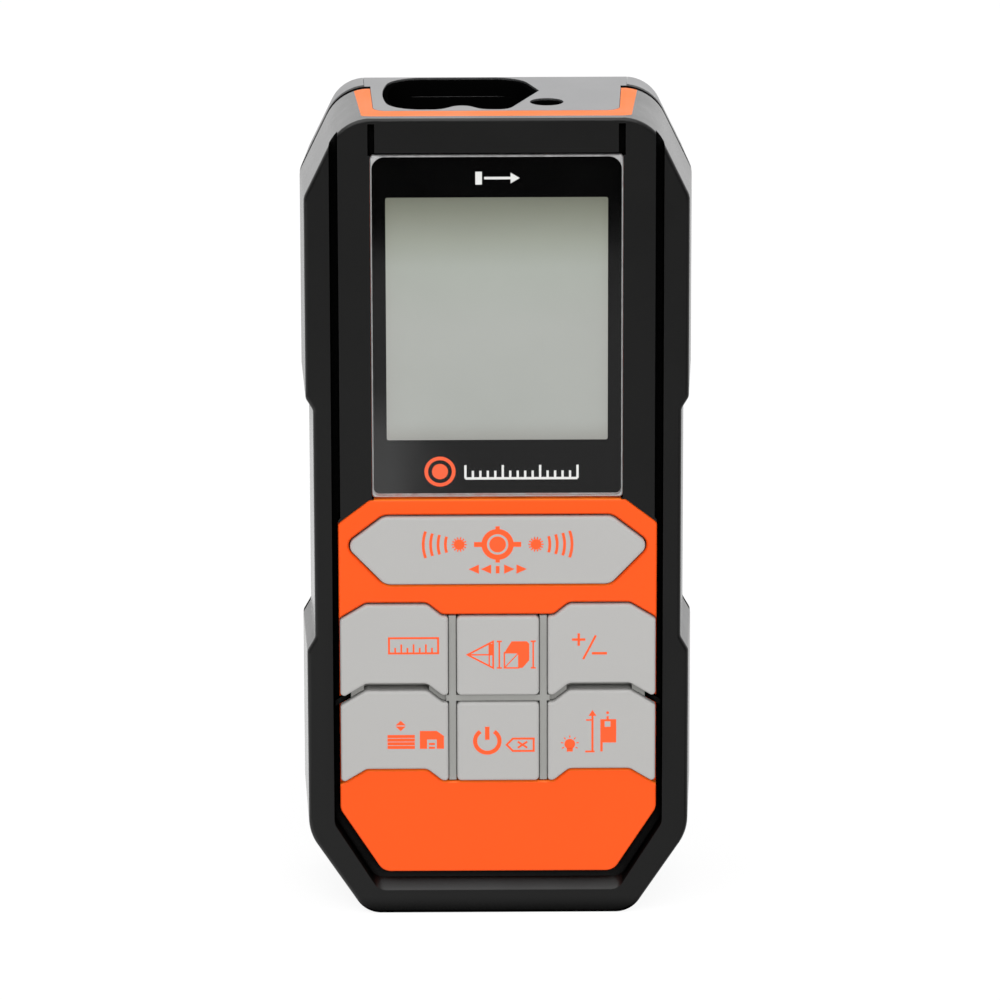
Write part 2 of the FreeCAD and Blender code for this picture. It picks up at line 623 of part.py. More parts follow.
def make_keys():
    """Return name to solid for the seven keys."""
    centres = key_centres()
    measure_skirt = inset(MEASURE_KEY_OUTLINE, 0.05)
    keys = {"measure_key": key_cap(MEASURE_KEY_OUTLINE, measure_skirt, centres["measure_key"])}
    ledge = SHELL_FACE - KEY_TRAVEL - GAP
    keyway = box(-KEYWAY_HALF, KEYWAY_HALF, ledge - 1, 1, 0, FAR * 2)
    overhang = box(-FAR, FAR, ledge, 0, 0, FAR * 2).cut(keyway)
    for row, (left, middle, right) in enumerate(KEY_ROWS):
        top = ROW_TOP - row * KEY_PITCH
        outer = outer_key_outline(top)
        centre = rectangle(CENTRE_KEY_HALF, top - KEY_HEIGHT, top, 0.6)
        for name, outline in ((left, flipped(outer)), (middle, centre), (right, outer)):
            keys[name] = key_cap(outline, inset(outline, 0.02), centres[name]).cut(overhang)
    return keys


def make_keypad_mat():
    """Grey silicone mat behind the face wall, with ribs that stand between the keys."""
    sheet_outline = mirrored([(20.0, 58.6, 2.0), (20.0, 19.2, 2.0), (17.0, 16.6, 2.0)])
    sheet = front_prism(sheet_outline, MAT_FRONT, MAT_BACK)
    rib_front = FRONT_Y + 0.1
    rib_x = (CENTRE_KEY_HALF + OUTER_KEY_START) / 2
    rib_half = 0.5
    gap_low = ROW_TOP - KEY_PITCH + GAP
    gap_high = ROW_TOP - KEY_HEIGHT - GAP
    parts = [sheet, box(-7.2, 7.2, rib_front, MAT_FRONT, gap_low, gap_high)]
    for side in (-1, 1):
        x = side * rib_x
        parts.append(box(x - rib_half, x + rib_half, rib_front, MAT_FRONT, ROW_BOTTOM, ROW_TOP))
    web = front_prism(row_gap(KEYWAY_HALF), FRONT_Y + 0.6, MAT_FRONT)
    for side in (-1, 1):
        x0, x1 = sorted((side * (SHOULDER_START - 0.3), side * (SHOULDER_END + 0.3)))
        web = web.cut(box(x0, x1, FRONT_Y, MAT_FRONT - 1.2, 0, FAR))
    mat = fused(parts + [web])
    holes = [rod_y(x, z, PLUNGER_RADIUS + 0.05, FRONT_Y - 1, 0) for x, z in key_centres().values()]
    return mat.cut(holes[0].multiFuse(holes[1:]))


def make_dome_switches():
    """Snap domes on the board, one under each plunger."""
    height = 0.3
    domes = []
    for x, z in key_centres().values():
        domes.append(Part.makeCone(2.5, 1.3, height, Vector(x, BOARD_FRONT, z), Vector(0, -1, 0)))
    return Part.makeCompound(domes)


# ---------------------------------------------------------------- electronics
def make_main_pcb():
    """Main circuit board, notched for the bosses that join the two shells."""
    outline = inset(FRONT_OUTLINE, RUBBER + WALL + 0.9)
    board = front_prism(outline, BOARD_FRONT, BOARD_BACK).common(box(-FAR, FAR, -FAR, FAR, 4.5, 108.6))
    boss = 2.8
    cuts = [rod_y(x, z, boss, -FAR, FAR) for x, z in HOUSING_SCREWS]
    cuts += [box(min(x, 2 * x), max(x, 2 * x), -FAR, FAR, z - boss, z + boss) for x, z in HOUSING_SCREWS]
    cuts += [rod_y(x, z, 1.05, -FAR, FAR) for x, z in BOARD_SCREWS + OPTICS_SCREWS]
    return board.cut(cuts[0].multiFuse(cuts[1:]))


def make_main_chip():
    """Processor package with its rows of leads."""
    half = 5.0
    middle_z = 40.0
    chip = box(-half, half, BOARD_BACK + 0.15, BOARD_BACK + 1.4, middle_z - half, middle_z + half)
    leads = []
    for step in range(10):
        low = -4.1 + step * 0.9
        high = low + 0.3
        leads.append(box(-half - 1, half + 1, ON_BOARD, BOARD_BACK + 0.4, middle_z + low, middle_z + high))
        leads.append(box(low, high, ON_BOARD, BOARD_BACK + 0.4, middle_z - half - 1, middle_z + half + 1))
    return fused([chip] + leads)


def make_board_parts():
    """Capacitors and coils on the back of the board."""
    parts = []
    for row in range(3):
        for column in range(4):
            x = -18.0 + column * 2.6
            z = 24.0 + row * 4.2
            parts.append(box(x, x + 1.6, ON_BOARD, BOARD_BACK + 0.9, z, z + 0.9))
    parts.append(rod_y(15.5, 28.0, 2.4, ON_BOARD, BOARD_BACK + 2.2))
    parts.append(rod_y(15.5, 35.0, 1.8, ON_BOARD, BOARD_BACK + 2.6))
    parts.append(box(10.0, 14.5, ON_BOARD, BOARD_BACK + 1.4, 42.0, 45.2))
    return Part.makeCompound(parts)


def make_buzzer():
    """Round sounder on the back of the board."""
    x, z = -14.8, 47.5
    height = 2.8
    body = rod_y(x, z, 4.5, ON_BOARD, BOARD_BACK + height)
    return body.cut(rod_y(x, z, 0.9, BOARD_BACK + height - 0.8, BOARD_BACK + height + 1))


# ---------------------------------------------------------------- optics
def make_optical_chassis():
    """Black chassis that holds the receiver lens, the laser and the detector in line."""
    x, y = RECEIVER
    laser_x, laser_y = LASER
    flange_bottom = 109.2
    pocket_bottom = 109.9
    flange_outline = [(11.4, 11.0, 2.0), (-16.6, 11.0, 2.0), (-17.0, -8.7, 1.5), (11.4, -8.7, 1.5)]
    flange = end_prism(flange_outline, flange_bottom, CHASSIS_TOP)
    tower = box(-15.6, 12.2, BOARD_BACK + 0.4, 11.0, TOWER_BOTTOM, flange_bottom + BOND)
    lug_plate = box(-22.4, 22.4, BOARD_BACK + 0.02, BOARD_BACK + 1.8, 70.0, 90.4)
    lug_plate = lug_plate.common(front_case(RUBBER + WALL + 0.4, SHELL_BACK))
    receiver_collar = end_prism(receiver_opening(-COLLAR_GAP), pocket_bottom, COLLAR_TOP)
    rear_wall_clearance = BACK_Y - REAR_WALL - 0.2
    receiver_collar = receiver_collar.cut(box(-FAR, FAR, rear_wall_clearance, FAR, 0, CAP_BOTTOM))
    laser_collar = rod_z(laser_x, laser_y, LASER_HOLE - COLLAR_GAP, flange_bottom, COLLAR_TOP)
    body = fused([flange, tower, lug_plate, receiver_collar, laser_collar])
    light_radius = RECEIVER_RADIUS - 0.6
    cone_bottom = 76.0
    cuts = [Part.makeCone(3.4, light_radius, 106.5 - cone_bottom, Vector(x, y, cone_bottom), Vector(0, 0, 1))]
    cuts.append(rod_z(x, y, light_radius, 106.4, LENS_SEAT))
    cuts.append(rod_z(x, y, RECEIVER_RADIUS + 0.05, LENS_SEAT - BOND, CHASSIS_TOP - 0.1))
    cuts.append(rod_z(x, y, DETECTOR_RADIUS + 0.05, TOWER_BOTTOM - 1, cone_bottom + 1))
    cuts.append(end_prism(receiver_opening(-COLLAR_GAP - RECEIVER_COLLAR_WALL), pocket_bottom, LENGTH + 1))
    cuts += [rod_z(laser_x, laser_y, 3.05, 92.0, 108.5)]
    cuts.append(rod_z(laser_x, laser_y, LASER_HOLE - COLLAR_GAP - LASER_COLLAR_WALL, 108.0, LENGTH + 1))
    cuts.append(box(laser_x - 3.0, 13.0, laser_y - 3.0, laser_y + 3.0, 80.0, 92.1))
    cuts += [rod_y(screw_x, screw_z, 1.05, -FAR, FAR) for screw_x, screw_z in OPTICS_SCREWS]
    screen_front = rear_wall_clearance - 0.7
    screen_bottom = pocket_bottom - 0.3
    screen = box(-15.4, 4.8, screen_front, rear_wall_clearance, screen_bottom, CAP_BOTTOM - GAP)
    return body.cut(cuts[0].multiFuse(cuts[1:])).fuse(screen)


def make_receiver_lens():
    """Plano-convex receiver lens."""
    x, y = RECEIVER
    crown = 15.0
    top = CHASSIS_TOP - 0.2
    disc = rod_z(x, y, RECEIVER_RADIUS, LENS_SEAT + 0.05, top + 0.1)
    return disc.common(Part.makeSphere(crown, Vector(x, y, top - crown)))


def make_laser_barrel():
    """Brass barrel that holds the laser diode and its lens."""
    bottom = 93.0
    top = 108.0
    barrel = rod_z(*LASER, 3.0, bottom, top)
    bore = rod_z(*LASER, 1.7, bottom - 1, top + 1)
    diode_seat = rod_z(*LASER, 2.82, bottom - 1, bottom + 1.4)
    lens_seat = rod_z(*LASER, 2.52, top - 2.6, top + 1)
    return barrel.cut(bore.multiFuse([diode_seat, lens_seat]))


def make_laser_diode():
    """Laser diode in its round metal can, with three leads."""
    x, y = LASER
    base = rod_z(x, y, 2.8, 93.2, 94.38)
    can = rod_z(x, y, 1.6, 94.3, 96.2)
    leads = []
    for step in range(3):
        angle = 0.5 + step * 2 * math.pi / 3
        leads.append(rod_z(x + 0.9 * math.cos(angle), y + 0.9 * math.sin(angle), 0.22, 87.0, 93.3))
    return fused([base, can] + leads)


def make_collimator_lens():
    """Small lens that makes the laser beam parallel."""
    x, y = LASER
    crown = 5.0
    top = 107.5
    return rod_z(x, y, 2.5, 105.42, top + 0.1).common(Part.makeSphere(crown, Vector(x, y, top - crown)))


def make_receiver_board():
    """Small board across the foot of the optical chassis."""
    return box(-15.4, 12.0, -4.0, 10.8, TOWER_BOTTOM - 2.0, TOWER_BOTTOM - 1.0)


def make_photodetector():
    """Avalanche photodiode in its round metal can."""
    seat = TOWER_BOTTOM - 0.98
    base = rod_z(*RECEIVER, DETECTOR_RADIUS, seat, seat + 3.0)
    return fused([base, rod_z(*RECEIVER, 2.3, seat + 2.9, seat + 3.8)])


def make_shield_can():
    """Tin shield over the amplifier under the receiver board."""
    rim = TOWER_BOTTOM - 2.02
    outer = box(-12.0, 9.0, -3.0, 9.6, rim - 4.8, rim)
    return outer.cut(box(-11.7, 8.7, -2.7, 9.3, rim - 4.5, rim + 1))


# ---------------------------------------------------------------- batteries
def make_cell(x, plus_up):
    """One AAA cell: jacket with rounded edges and the raised plus contact."""
    top = CELL_BOTTOM + CELL_LENGTH
    jacket_low = CELL_BOTTOM if plus_up else CELL_BOTTOM + CELL_NUB
    body = rod_z(x, CELL_Y, CELL_RADIUS, jacket_low, jacket_low + CELL_LENGTH - CELL_NUB)
    body = body.makeFillet(0.5, [edge for edge in body.Edges if edge.Closed])
    nub_low = top - CELL_NUB - BOND if plus_up else CELL_BOTTOM
    return body.fuse(rod_z(x, CELL_Y, CELL_NUB_RADIUS, nub_low, nub_low + CELL_NUB + BOND))


def contact_spring():
    """Return one coil spring that stands on the origin, its wire drawn with flat sides."""
    helix = Part.makeHelix(SPRING_LENGTH / SPRING_TURNS, SPRING_LENGTH, SPRING_RADIUS)
    start = helix.Vertexes[0].Point
    corners = []
    for side in range(WIRE_SIDES):
        angle = 2 * math.pi * side / WIRE_SIDES
        corners.append(start + SPRING_WIRE * Vector(math.cos(angle), 0, math.sin(angle)))
    profile = Part.makePolygon(corners + corners[:1])
    return Part.Wire(helix.Edges).makePipeShell([profile], True, True)


def make_battery_springs():
    """The two springs, one at each end because the cells lie head to tail."""
    lower = contact_spring()
    lower.translate(Vector(-CELL_X, CELL_Y, BAY_BOTTOM + 0.7))
    upper = contact_spring()
    upper.rotate(Vector(0, 0, 0), Vector(1, 0, 0), 180)
    upper.translate(Vector(CELL_X, CELL_Y, BAY_TOP - 0.7))
    return Part.makeCompound([lower, upper])


def make_battery_link():
    """Metal strip across the tail end of the bay that joins the two cells."""
    low = BAY_BOTTOM + 0.02
    strip = box(-9.8, 9.8, CONTACT_LOW_Y, CONTACT_HIGH_Y, low, low + CONTACT_SHEET)
    height = CELL_BOTTOM - low - 0.05
    dimple = Part.makeCone(2.6, 1.6, height, Vector(CELL_X, CELL_Y, low), Vector(0, 0, 1))
    return fused([strip, dimple])


def make_battery_contacts():
    """The two end contacts at the upper end of the bay."""
    high = BAY_TOP - 0.02
    plates = []
    for side in (-1, 1):
        x = side * CELL_X
        plate = box(x - 4.2, x + 4.2, CONTACT_LOW_Y, CONTACT_HIGH_Y, high - CONTACT_SHEET, high)
        if side < 0:
            height = high - CELL_BOTTOM - CELL_LENGTH - 0.05
            dimple = Part.makeCone(2.6, 1.6, height, Vector(x, CELL_Y, high), Vector(0, 0, -1))
            plate = fused([plate, dimple])
        plates.append(plate)
    return Part.makeCompound(plates)


def make_battery_wires():
    """Two insulated leads from the bay to the main board."""
    bay_end = BAY_TOP + BAY_WALL
    wires = []
    for side in (-1, 1):
        x = side * 8.0
        points = [
            Vector(x, BAY_FLOOR + 2.0, bay_end + 0.6), Vector(x, BAY_FLOOR - 0.8, bay_end + 1.4),
            Vector(x * 1.1, -3.4, bay_end + 2.0), Vector(x * 1.15, BOARD_BACK + 0.5, bay_end + 0.8),
        ]
        path = Part.BSplineCurve()
        path.interpolate(points)
        spine = Part.Wire([path.toShape()])
        profile = Part.Wire([Part.Circle(points[0], path.tangent(path.FirstParameter)[0], 0.45).toShape()])
        wires.append(spine.makePipeShell([profile], True, True))
    return Part.makeCompound(wires)


# ---------------------------------------------------------------- fasteners
def screw(x, z, head_y, head_radius, head_height, shank_radius, tip_y):
    """Pan-head screw that points towards the front, with a cross recess."""
    head_end = head_y + head_height
    head = rod_y(x, z, head_radius, head_y, head_end)
    head = head.makeFillet(head_height * 0.45, edges_at(head, head_end))
    shank = rod_y(x, z, shank_radius, tip_y, head_y + BOND)
    arm = head_radius * 0.62
    blade = head_radius * 0.13
    floor = head_end - head_height * 0.55
    recess = box(x - arm, x + arm, floor, head_end + 1, z - blade, z + blade)
    recess = recess.fuse(box(x - blade, x + blade, floor, head_end + 1, z - arm, z + arm))
    return head.fuse(shank).cut(recess)


def make_housing_screws():
    """Four screws that join the two shells, in the wells of the rear shell."""
    seat = SCREW_WELL_FLOOR + 0.02
    return Part.makeCompound([screw(x, z, seat, 1.9, 1.4, 0.97, -4.0) for x, z in HOUSING_SCREWS])


def make_board_screws():
    """Four screws that hold the main board."""
    seat = BOARD_BACK + 0.02
    return Part.makeCompound([screw(x, z, seat, 1.7, 1.0, 0.77, SHELL_BACK) for x, z in BOARD_SCREWS])


def make_optics_screws():
    """Four screws that hold the optical chassis and the top of the board."""
    seat = BOARD_BACK + 1.82
    return Part.makeCompound([screw(x, z, seat, 1.7, 1.0, 0.77, SHELL_BACK) for x, z in OPTICS_SCREWS])


# ---------------------------------------------------------------- assembly
def make_all():
    """Return node name to solid for the whole meter."""
    housing = make_front_housing()
    nodes = {
        "front_housing": housing,
        "front_grip": make_front_grip(housing),
        "end_cap": make_end_cap(),
        "housing_gasket": make_housing_gasket(),
        "rear_housing": make_rear_housing(),
        "rear_grip_left": make_rear_grip(-1),
        "rear_grip_right": make_rear_grip(1),
        "battery_door": make_battery_door(),
        "display_window": make_display_window(),
        "display_gasket": make_display_gasket(),
        "lcd_panel": make_lcd_panel(),
        "lcd_backlight": make_lcd_backlight(),
        "lcd_frame": make_lcd_frame(),
        "lcd_connector": make_lcd_connector(),
        "keypad_mat": make_keypad_mat(),
        "dome_switches": make_dome_switches(),
        "main_pcb": make_main_pcb(),
        "main_chip": make_main_chip(),
        "board_parts": make_board_parts(),
        "buzzer": make_buzzer(),
        "optical_chassis": make_optical_chassis(),
        "receiver_lens": make_receiver_lens(),
        "laser_barrel": make_laser_barrel(),
        "laser_diode": make_laser_diode(),
        "collimator_lens": make_collimator_lens(),
        "receiver_board": make_receiver_board(),
        "photodetector": make_photodetector(),
        "shield_can": make_shield_can(),
        "battery_left": make_cell(-CELL_X, True),
        "battery_right": make_cell(CELL_X, False),
        "battery_springs": make_battery_springs(),
        "battery_link": make_battery_link(),
        "battery_contacts": make_battery_contacts(),
        "battery_wires": make_battery_wires(),
        "housing_screws": make_housing_screws(),
        "board_screws": make_board_screws(),
        "optics_screws": make_optics_screws(),
    }
    nodes.update(make_keys())
    return nodes


os.makedirs("parts", exist_ok=True)
for node, shape in make_all().items():
    shape.exportStep("parts/" + node + ".step")
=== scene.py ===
"""Looks of the laser distance meter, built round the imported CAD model.  Metres, +Z up, front face to -Y."""

import json
import math

import bmesh
import bpy
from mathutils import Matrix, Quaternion, Vector

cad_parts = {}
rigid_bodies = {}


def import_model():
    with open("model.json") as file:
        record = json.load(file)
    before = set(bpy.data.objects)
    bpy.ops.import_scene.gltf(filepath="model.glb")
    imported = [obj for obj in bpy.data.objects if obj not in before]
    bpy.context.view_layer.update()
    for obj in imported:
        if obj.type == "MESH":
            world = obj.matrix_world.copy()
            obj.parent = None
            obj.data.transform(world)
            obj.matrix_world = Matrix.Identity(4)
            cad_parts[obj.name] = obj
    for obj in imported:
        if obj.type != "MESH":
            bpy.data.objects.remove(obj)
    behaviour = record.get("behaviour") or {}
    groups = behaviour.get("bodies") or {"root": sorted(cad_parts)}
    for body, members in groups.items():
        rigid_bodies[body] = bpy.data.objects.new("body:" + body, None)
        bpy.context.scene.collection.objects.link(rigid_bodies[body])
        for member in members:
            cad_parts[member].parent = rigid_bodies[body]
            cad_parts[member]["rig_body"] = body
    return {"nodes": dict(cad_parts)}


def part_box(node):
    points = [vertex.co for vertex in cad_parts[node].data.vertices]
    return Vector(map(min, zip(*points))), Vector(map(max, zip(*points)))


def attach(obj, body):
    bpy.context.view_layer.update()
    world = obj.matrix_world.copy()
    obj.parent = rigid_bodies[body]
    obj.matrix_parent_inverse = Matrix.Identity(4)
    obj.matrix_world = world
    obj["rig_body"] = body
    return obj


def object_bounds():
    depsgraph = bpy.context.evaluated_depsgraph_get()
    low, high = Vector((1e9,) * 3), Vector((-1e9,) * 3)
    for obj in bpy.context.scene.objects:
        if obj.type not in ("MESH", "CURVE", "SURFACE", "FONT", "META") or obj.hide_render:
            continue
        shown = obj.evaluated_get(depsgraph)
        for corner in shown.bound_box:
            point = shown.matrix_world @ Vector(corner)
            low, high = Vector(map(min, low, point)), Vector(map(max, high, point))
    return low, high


MM = 0.001
BLACK = (0.0, 0.0, 0.0, 1.0)
WHITE = (1.0, 1.0, 1.0, 1.0)

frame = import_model()
cad_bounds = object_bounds()
nodes = frame["nodes"]

# Places and sizes on the frame, in metres.
WINDOW_LOW, WINDOW_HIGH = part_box("display_window")
MASK_LOW, MASK_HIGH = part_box("display_gasket")
LENGTH = cad_bounds[1][2] - cad_bounds[0][2]
VIEW_TOP = WINDOW_HIGH.z - 6.15 * MM           # upper edge of the opening in the mask
VIEW_HEIGHT = 34.35 * MM
LIP_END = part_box("housing_gasket")[1].y + 1.0 * MM     # back edge of the rear shell's front lip, which is painted black as seam shade

INK = 0.012 * MM               # how far printed marks stand out of the surface
INK_STEP = 0.0001 * MM         # each stroke lies this much higher than the one before it


# ---------------------------------------------------------------- material helpers
def new_material(name):
    """Return an empty node material and its tree."""
    material = bpy.data.materials.new(name)
    material.use_nodes = True
    material.node_tree.nodes.clear()
    return material, material.node_tree


def add(tree, kind, inputs=None, **settings):
    """Add a node; inputs maps socket names or numbers to a value or to another node's socket."""
    made = tree.nodes.new(kind)
    for key, value in settings.items():
        setattr(made, key, value)
    for key, value in (inputs or {}).items():
        socket = made.inputs[key]
        if isinstance(value, bpy.types.NodeSocket):
            tree.links.new(value, socket)
        else:
            socket.default_value = value
    return made


def rgb(colour, lift=1.0):
    """Return a linear RGBA colour, scaled by lift."""
    return tuple(min(1.0, part * lift) for part in colour) + (1.0,)


def noise(tree, place, size, detail=2.0, roughness=0.5):
    """Noise whose lumps are about size metres across; returns its 0..1 value socket."""
    made = add(tree, "ShaderNodeTexNoise", {"Vector": place, "Scale": 1.0 / size, "Detail": detail,
                                            "Roughness": roughness})
    return made.outputs["Fac"]


def mapped(tree, value, low, high, new_low, new_high):
    """Map a value from one range onto another, clamped."""
    made = add(tree, "ShaderNodeMapRange", {"Value": value, "From Min": low, "From Max": high,
                                            "To Min": new_low, "To Max": new_high})
    return made.outputs["Result"]


def math_node(tree, operation, first, second=0.0):
    """Return the result of a one-step calculation."""
    return add(tree, "ShaderNodeMath", {0: first, 1: second}, operation=operation).outputs[0]


def blended(tree, share, first, second):
    """Mix two colours or colour sockets by a 0..1 share."""
    made = add(tree, "ShaderNodeMix", {0: share, 6: first, 7: second}, data_type="RGBA")
    return made.outputs[2]


def object_place(tree):
    """Return the place on the object, in metres."""
    return add(tree, "ShaderNodeTexCoord").outputs["Object"]


def split(tree, vector):
    """Return the x, y and z sockets of a vector."""
    parts = add(tree, "ShaderNodeSeparateXYZ", {0: vector})
    return parts.outputs[0], parts.outputs[1], parts.outputs[2]


def rounded_edge(tree, radius):
    """Return a normal that is rounded at sharp edges, and a 0..1 mask of those edges."""
    bevel = add(tree, "ShaderNodeBevel", {"Radius": radius}, samples=4)
    plain = add(tree, "ShaderNodeNewGeometry").outputs["Normal"]
    likeness = add(tree, "ShaderNodeVectorMath", {0: bevel.outputs[0], 1: plain}, operation="DOT_PRODUCT")
    mask = mapped(tree, likeness.outputs["Value"], 0.80, 0.99, 1.0, 0.0)
    return bevel.outputs[0], mask


def finish_material(tree, shader):
    """Use a shader as the surface of its material."""
    add(tree, "ShaderNodeOutputMaterial", {"Surface": shader})


def openness(tree, reach):
    """Return 1 on open surfaces, falling to 0 in grooves that are narrower than reach metres: the mask of
    painted shade in grooves.
    """
    seen = add(tree, "ShaderNodeAmbientOcclusion", {"Distance": reach}, samples=6)
    return mapped(tree, seen.outputs["AO"], 0.6, 0.95, 0.0, 1.0)


def upward(tree):
    """Return 1 on faces that look up, where orange plastic gets a painted highlight from the light above, and
    0 on upright faces.
    """
    _, _, up = split(tree, add(tree, "ShaderNodeNewGeometry").outputs["Normal"])
    return mapped(tree, up, 0.5, 0.9, 0.0, 1.0)


def joint_lip(tree):
    """Return 1 on the front lip of the rear shell, which is painted black as shade in the seam beside the
    black cord.
    """
    _, y, _ = split(tree, object_place(tree))
    return math_node(tree, "LESS_THAN", y, LIP_END)


def moulded(name, colour, roughness=0.5, grain=0.25, depth=0.012, mottle=0.05, edge=0.10, bevel=0.10,
            specular=0.5, scuff=0.0, coat=0.0, crevice=0.0, tint=None):
    """Moulded plastic or rubber: fine spark texture, slight mottling and lighter, rounded edges that are
    partly rubbed and partly painted highlight.

    grain, depth and bevel are in millimetres: the texture's size and height, and the edge radius.
    edge is how much the colour lightens on edges, partly as rubbed edges and partly as painted highlight,
    scuff how much smoother scuffed streaks are, and coat a thin sheen that shows at a slant.  crevice is the
    width in millimetres of grooves that get painted shade, darker and duller.  tint is a pair: a function
    that returns a 0..1 mask, and the colour of the masked places, here a painted highlight and a painted
    shade."""
    material, tree = new_material(name)
    place = object_place(tree)
    normal, edges = rounded_edge(tree, bevel * MM)
    fine = noise(tree, place, grain * MM, 3.0, 0.6)
    broad = noise(tree, place, 9 * MM, 3.0, 0.55)
    speck = noise(tree, place, grain * 2.7 * MM, 2.0, 0.5)
    base = blended(tree, broad, rgb(colour, 1 - mottle), rgb(colour, 1 + mottle))
    base = blended(tree, mapped(tree, speck, 0.35, 0.75, 0.0, mottle * 3), base, rgb(colour, 1 - 4 * mottle))
    if tint:
        mask, tint_colour = tint
        base = blended(tree, mask(tree), base, rgb(tint_colour))
    # lighter edges in patches: partly rubbed plastic, partly painted highlight
    patchy_wear_and_highlight = mapped(tree, noise(tree, place, 2.2 * MM, 3.0, 0.6), 0.35, 0.7, 0.35, 1.0)
    wear_and_highlight = mapped(tree, math_node(tree, "MULTIPLY", edges, patchy_wear_and_highlight), 0.0, 1.0, 0.0, edge)
    base = blended(tree, wear_and_highlight, base, rgb([0.25 + 0.75 * part for part in colour]))
    rough = mapped(tree, broad, 0.3, 0.7, roughness - 0.05, roughness + 0.05)
    if scuff:
        streaks = add(tree, "ShaderNodeMapping", {"Vector": place, "Rotation": (0.4, 0.2, 0.3),
                                                  "Scale": (1.0, 1.0, 0.12)}).outputs[0]
        lines = mapped(tree, noise(tree, streaks, 0.5 * MM, 2.0, 0.7), 0.62, 0.72, 0.0, scuff)
        rough = math_node(tree, "SUBTRACT", rough, lines)
    # painted shade: narrow grooves get a darker colour and less sheen and coat
    if crevice:
        unshaded = openness(tree, crevice * MM)
        base = blended(tree, unshaded, rgb(colour, 0.05), base)
        specular = math_node(tree, "MULTIPLY", unshaded, specular)
        coat = math_node(tree, "MULTIPLY", unshaded, coat)
    bump = add(tree, "ShaderNodeBump", {"Height": fine, "Distance": depth * MM, "Normal": normal})
    shader = add(tree, "ShaderNodeBsdfPrincipled", {
        "Base Color": base, "Roughness": rough, "Normal": bump.outputs[0], "Specular IOR Level": specular,
        "Coat Weight": coat, "Coat IOR": 1.25, "Coat Roughness": 0.18, "Coat Normal": normal})
    finish_material(tree, shader.outputs[0])
    return material


def metal(name, colour, roughness=0.3, brush=(1.0, 1.0, 0.05), depth=0.004, bevel=0.05):
    """Worked metal with fine tool marks that run along the axis with the small brush scale."""
    material, tree = new_material(name)
    place = object_place(tree)
    normal, edges = rounded_edge(tree, bevel * MM)
    along = add(tree, "ShaderNodeMapping", {"Vector": place, "Scale": brush}).outputs[0]
    marks = noise(tree, along, 0.12 * MM, 4.0, 0.7)
    stain = noise(tree, place, 3 * MM, 3.0, 0.6)
    base = blended(tree, stain, rgb(colour, 0.82), rgb(colour, 1.08))
    # lighter edges: partly rubbed metal, partly painted highlight
    base = blended(tree, mapped(tree, edges, 0.0, 1.0, 0.0, 0.4), base, rgb(colour, 1.25))
    rough = mapped(tree, marks, 0.3, 0.7, roughness * 0.75, roughness * 1.3)
    bump = add(tree, "ShaderNodeBump", {"Height": marks, "Distance": depth * MM, "Normal": normal})
    shader = add(tree, "ShaderNodeBsdfPrincipled", {
        "Base Color": base, "Metallic": 1.0, "Roughness": rough, "Normal": bump.outputs[0]})
    finish_material(tree, shader.outputs[0])
    return material


# ---------------------------------------------------------------- special materials
def outside_mask(tree):
    """Return 1 outside the printed mask behind the window, which has round corners, and 0 inside it."""
    x, _, z = split(tree, object_place(tree))
    middle = (MASK_LOW.z + MASK_HIGH.z) / 2
    lower_radius = 0.8 * MM
    upper_radius = 1.8 * MM
    radius = mapped(tree, z, middle - MM, middle + MM, lower_radius, upper_radius)
    across = math_node(tree, "SUBTRACT", math_node(tree, "ABSOLUTE", x), MASK_HIGH.x)
    along = math_node(tree, "ABSOLUTE", math_node(tree, "SUBTRACT", z, middle))
    along = math_node(tree, "SUBTRACT", along, MASK_HIGH.z - middle)
    across = math_node(tree, "MAXIMUM", math_node(tree, "ADD", across, radius), 0.0)
    along = math_node(tree, "MAXIMUM", math_node(tree, "ADD", along, radius), 0.0)
    across_squared = math_node(tree, "MULTIPLY", across, across)
    along_squared = math_node(tree, "MULTIPLY", along, along)
    corner = math_node(tree, "SQRT", math_node(tree, "ADD", across_squared, along_squared))
    return math_node(tree, "GREATER_THAN", corner, radius)


def window_material():
    """Clear acrylic: see-through, mirror-like at a slant, with a pale line where the mask behind it ends.

    Light passes straight through, so both faces' reflections are put on the face where it enters."""
    material, tree = new_material("clear_window")
    place = object_place(tree)
    frost = mapped(tree, noise(tree, place, 1.5 * MM, 3.0, 0.6), 0.3, 0.7, 0.55, 0.95)
    rim = math_node(tree, "MULTIPLY", outside_mask(tree), frost)
    smear = mapped(tree, noise(tree, place, 12 * MM, 3.0, 0.5), 0.3, 0.7, 0.02, 0.06)
    swell = noise(tree, place, 20 * MM, 1.0)
    wave = add(tree, "ShaderNodeBump", {"Height": swell, "Distance": 0.01 * MM}).outputs[0]
    gloss = add(tree, "ShaderNodeBsdfGlossy", {"Color": WHITE, "Roughness": smear, "Normal": wave})
    clear = add(tree, "ShaderNodeBsdfTransparent", {"Color": rgb((0.985, 0.99, 0.985))})
    fresnel = add(tree, "ShaderNodeFresnel", {"IOR": 1.46, "Normal": wave}).outputs[0]
    leaving = add(tree, "ShaderNodeNewGeometry").outputs["Backfacing"]
    entering = math_node(tree, "SUBTRACT", 1.0, leaving)
    both_faces = math_node(tree, "MULTIPLY", fresnel, 1.9)
    share = math_node(tree, "MINIMUM", math_node(tree, "MULTIPLY", both_faces, entering), 1.0)
    body = add(tree, "ShaderNodeMixShader", {0: share, 1: clear.outputs[0], 2: gloss.outputs[0]})
    pale = blended(tree, noise(tree, place, 0.8 * MM), rgb((0.34, 0.34, 0.34)), rgb((0.5, 0.5, 0.5)))
    border = add(tree, "ShaderNodeBsdfPrincipled", {"Base Color": pale, "Roughness": 0.35})
    window = add(tree, "ShaderNodeMixShader", {0: rim, 1: body.outputs[0], 2: border.outputs[0]})
    finish_material(tree, window.outputs[0])
    return material


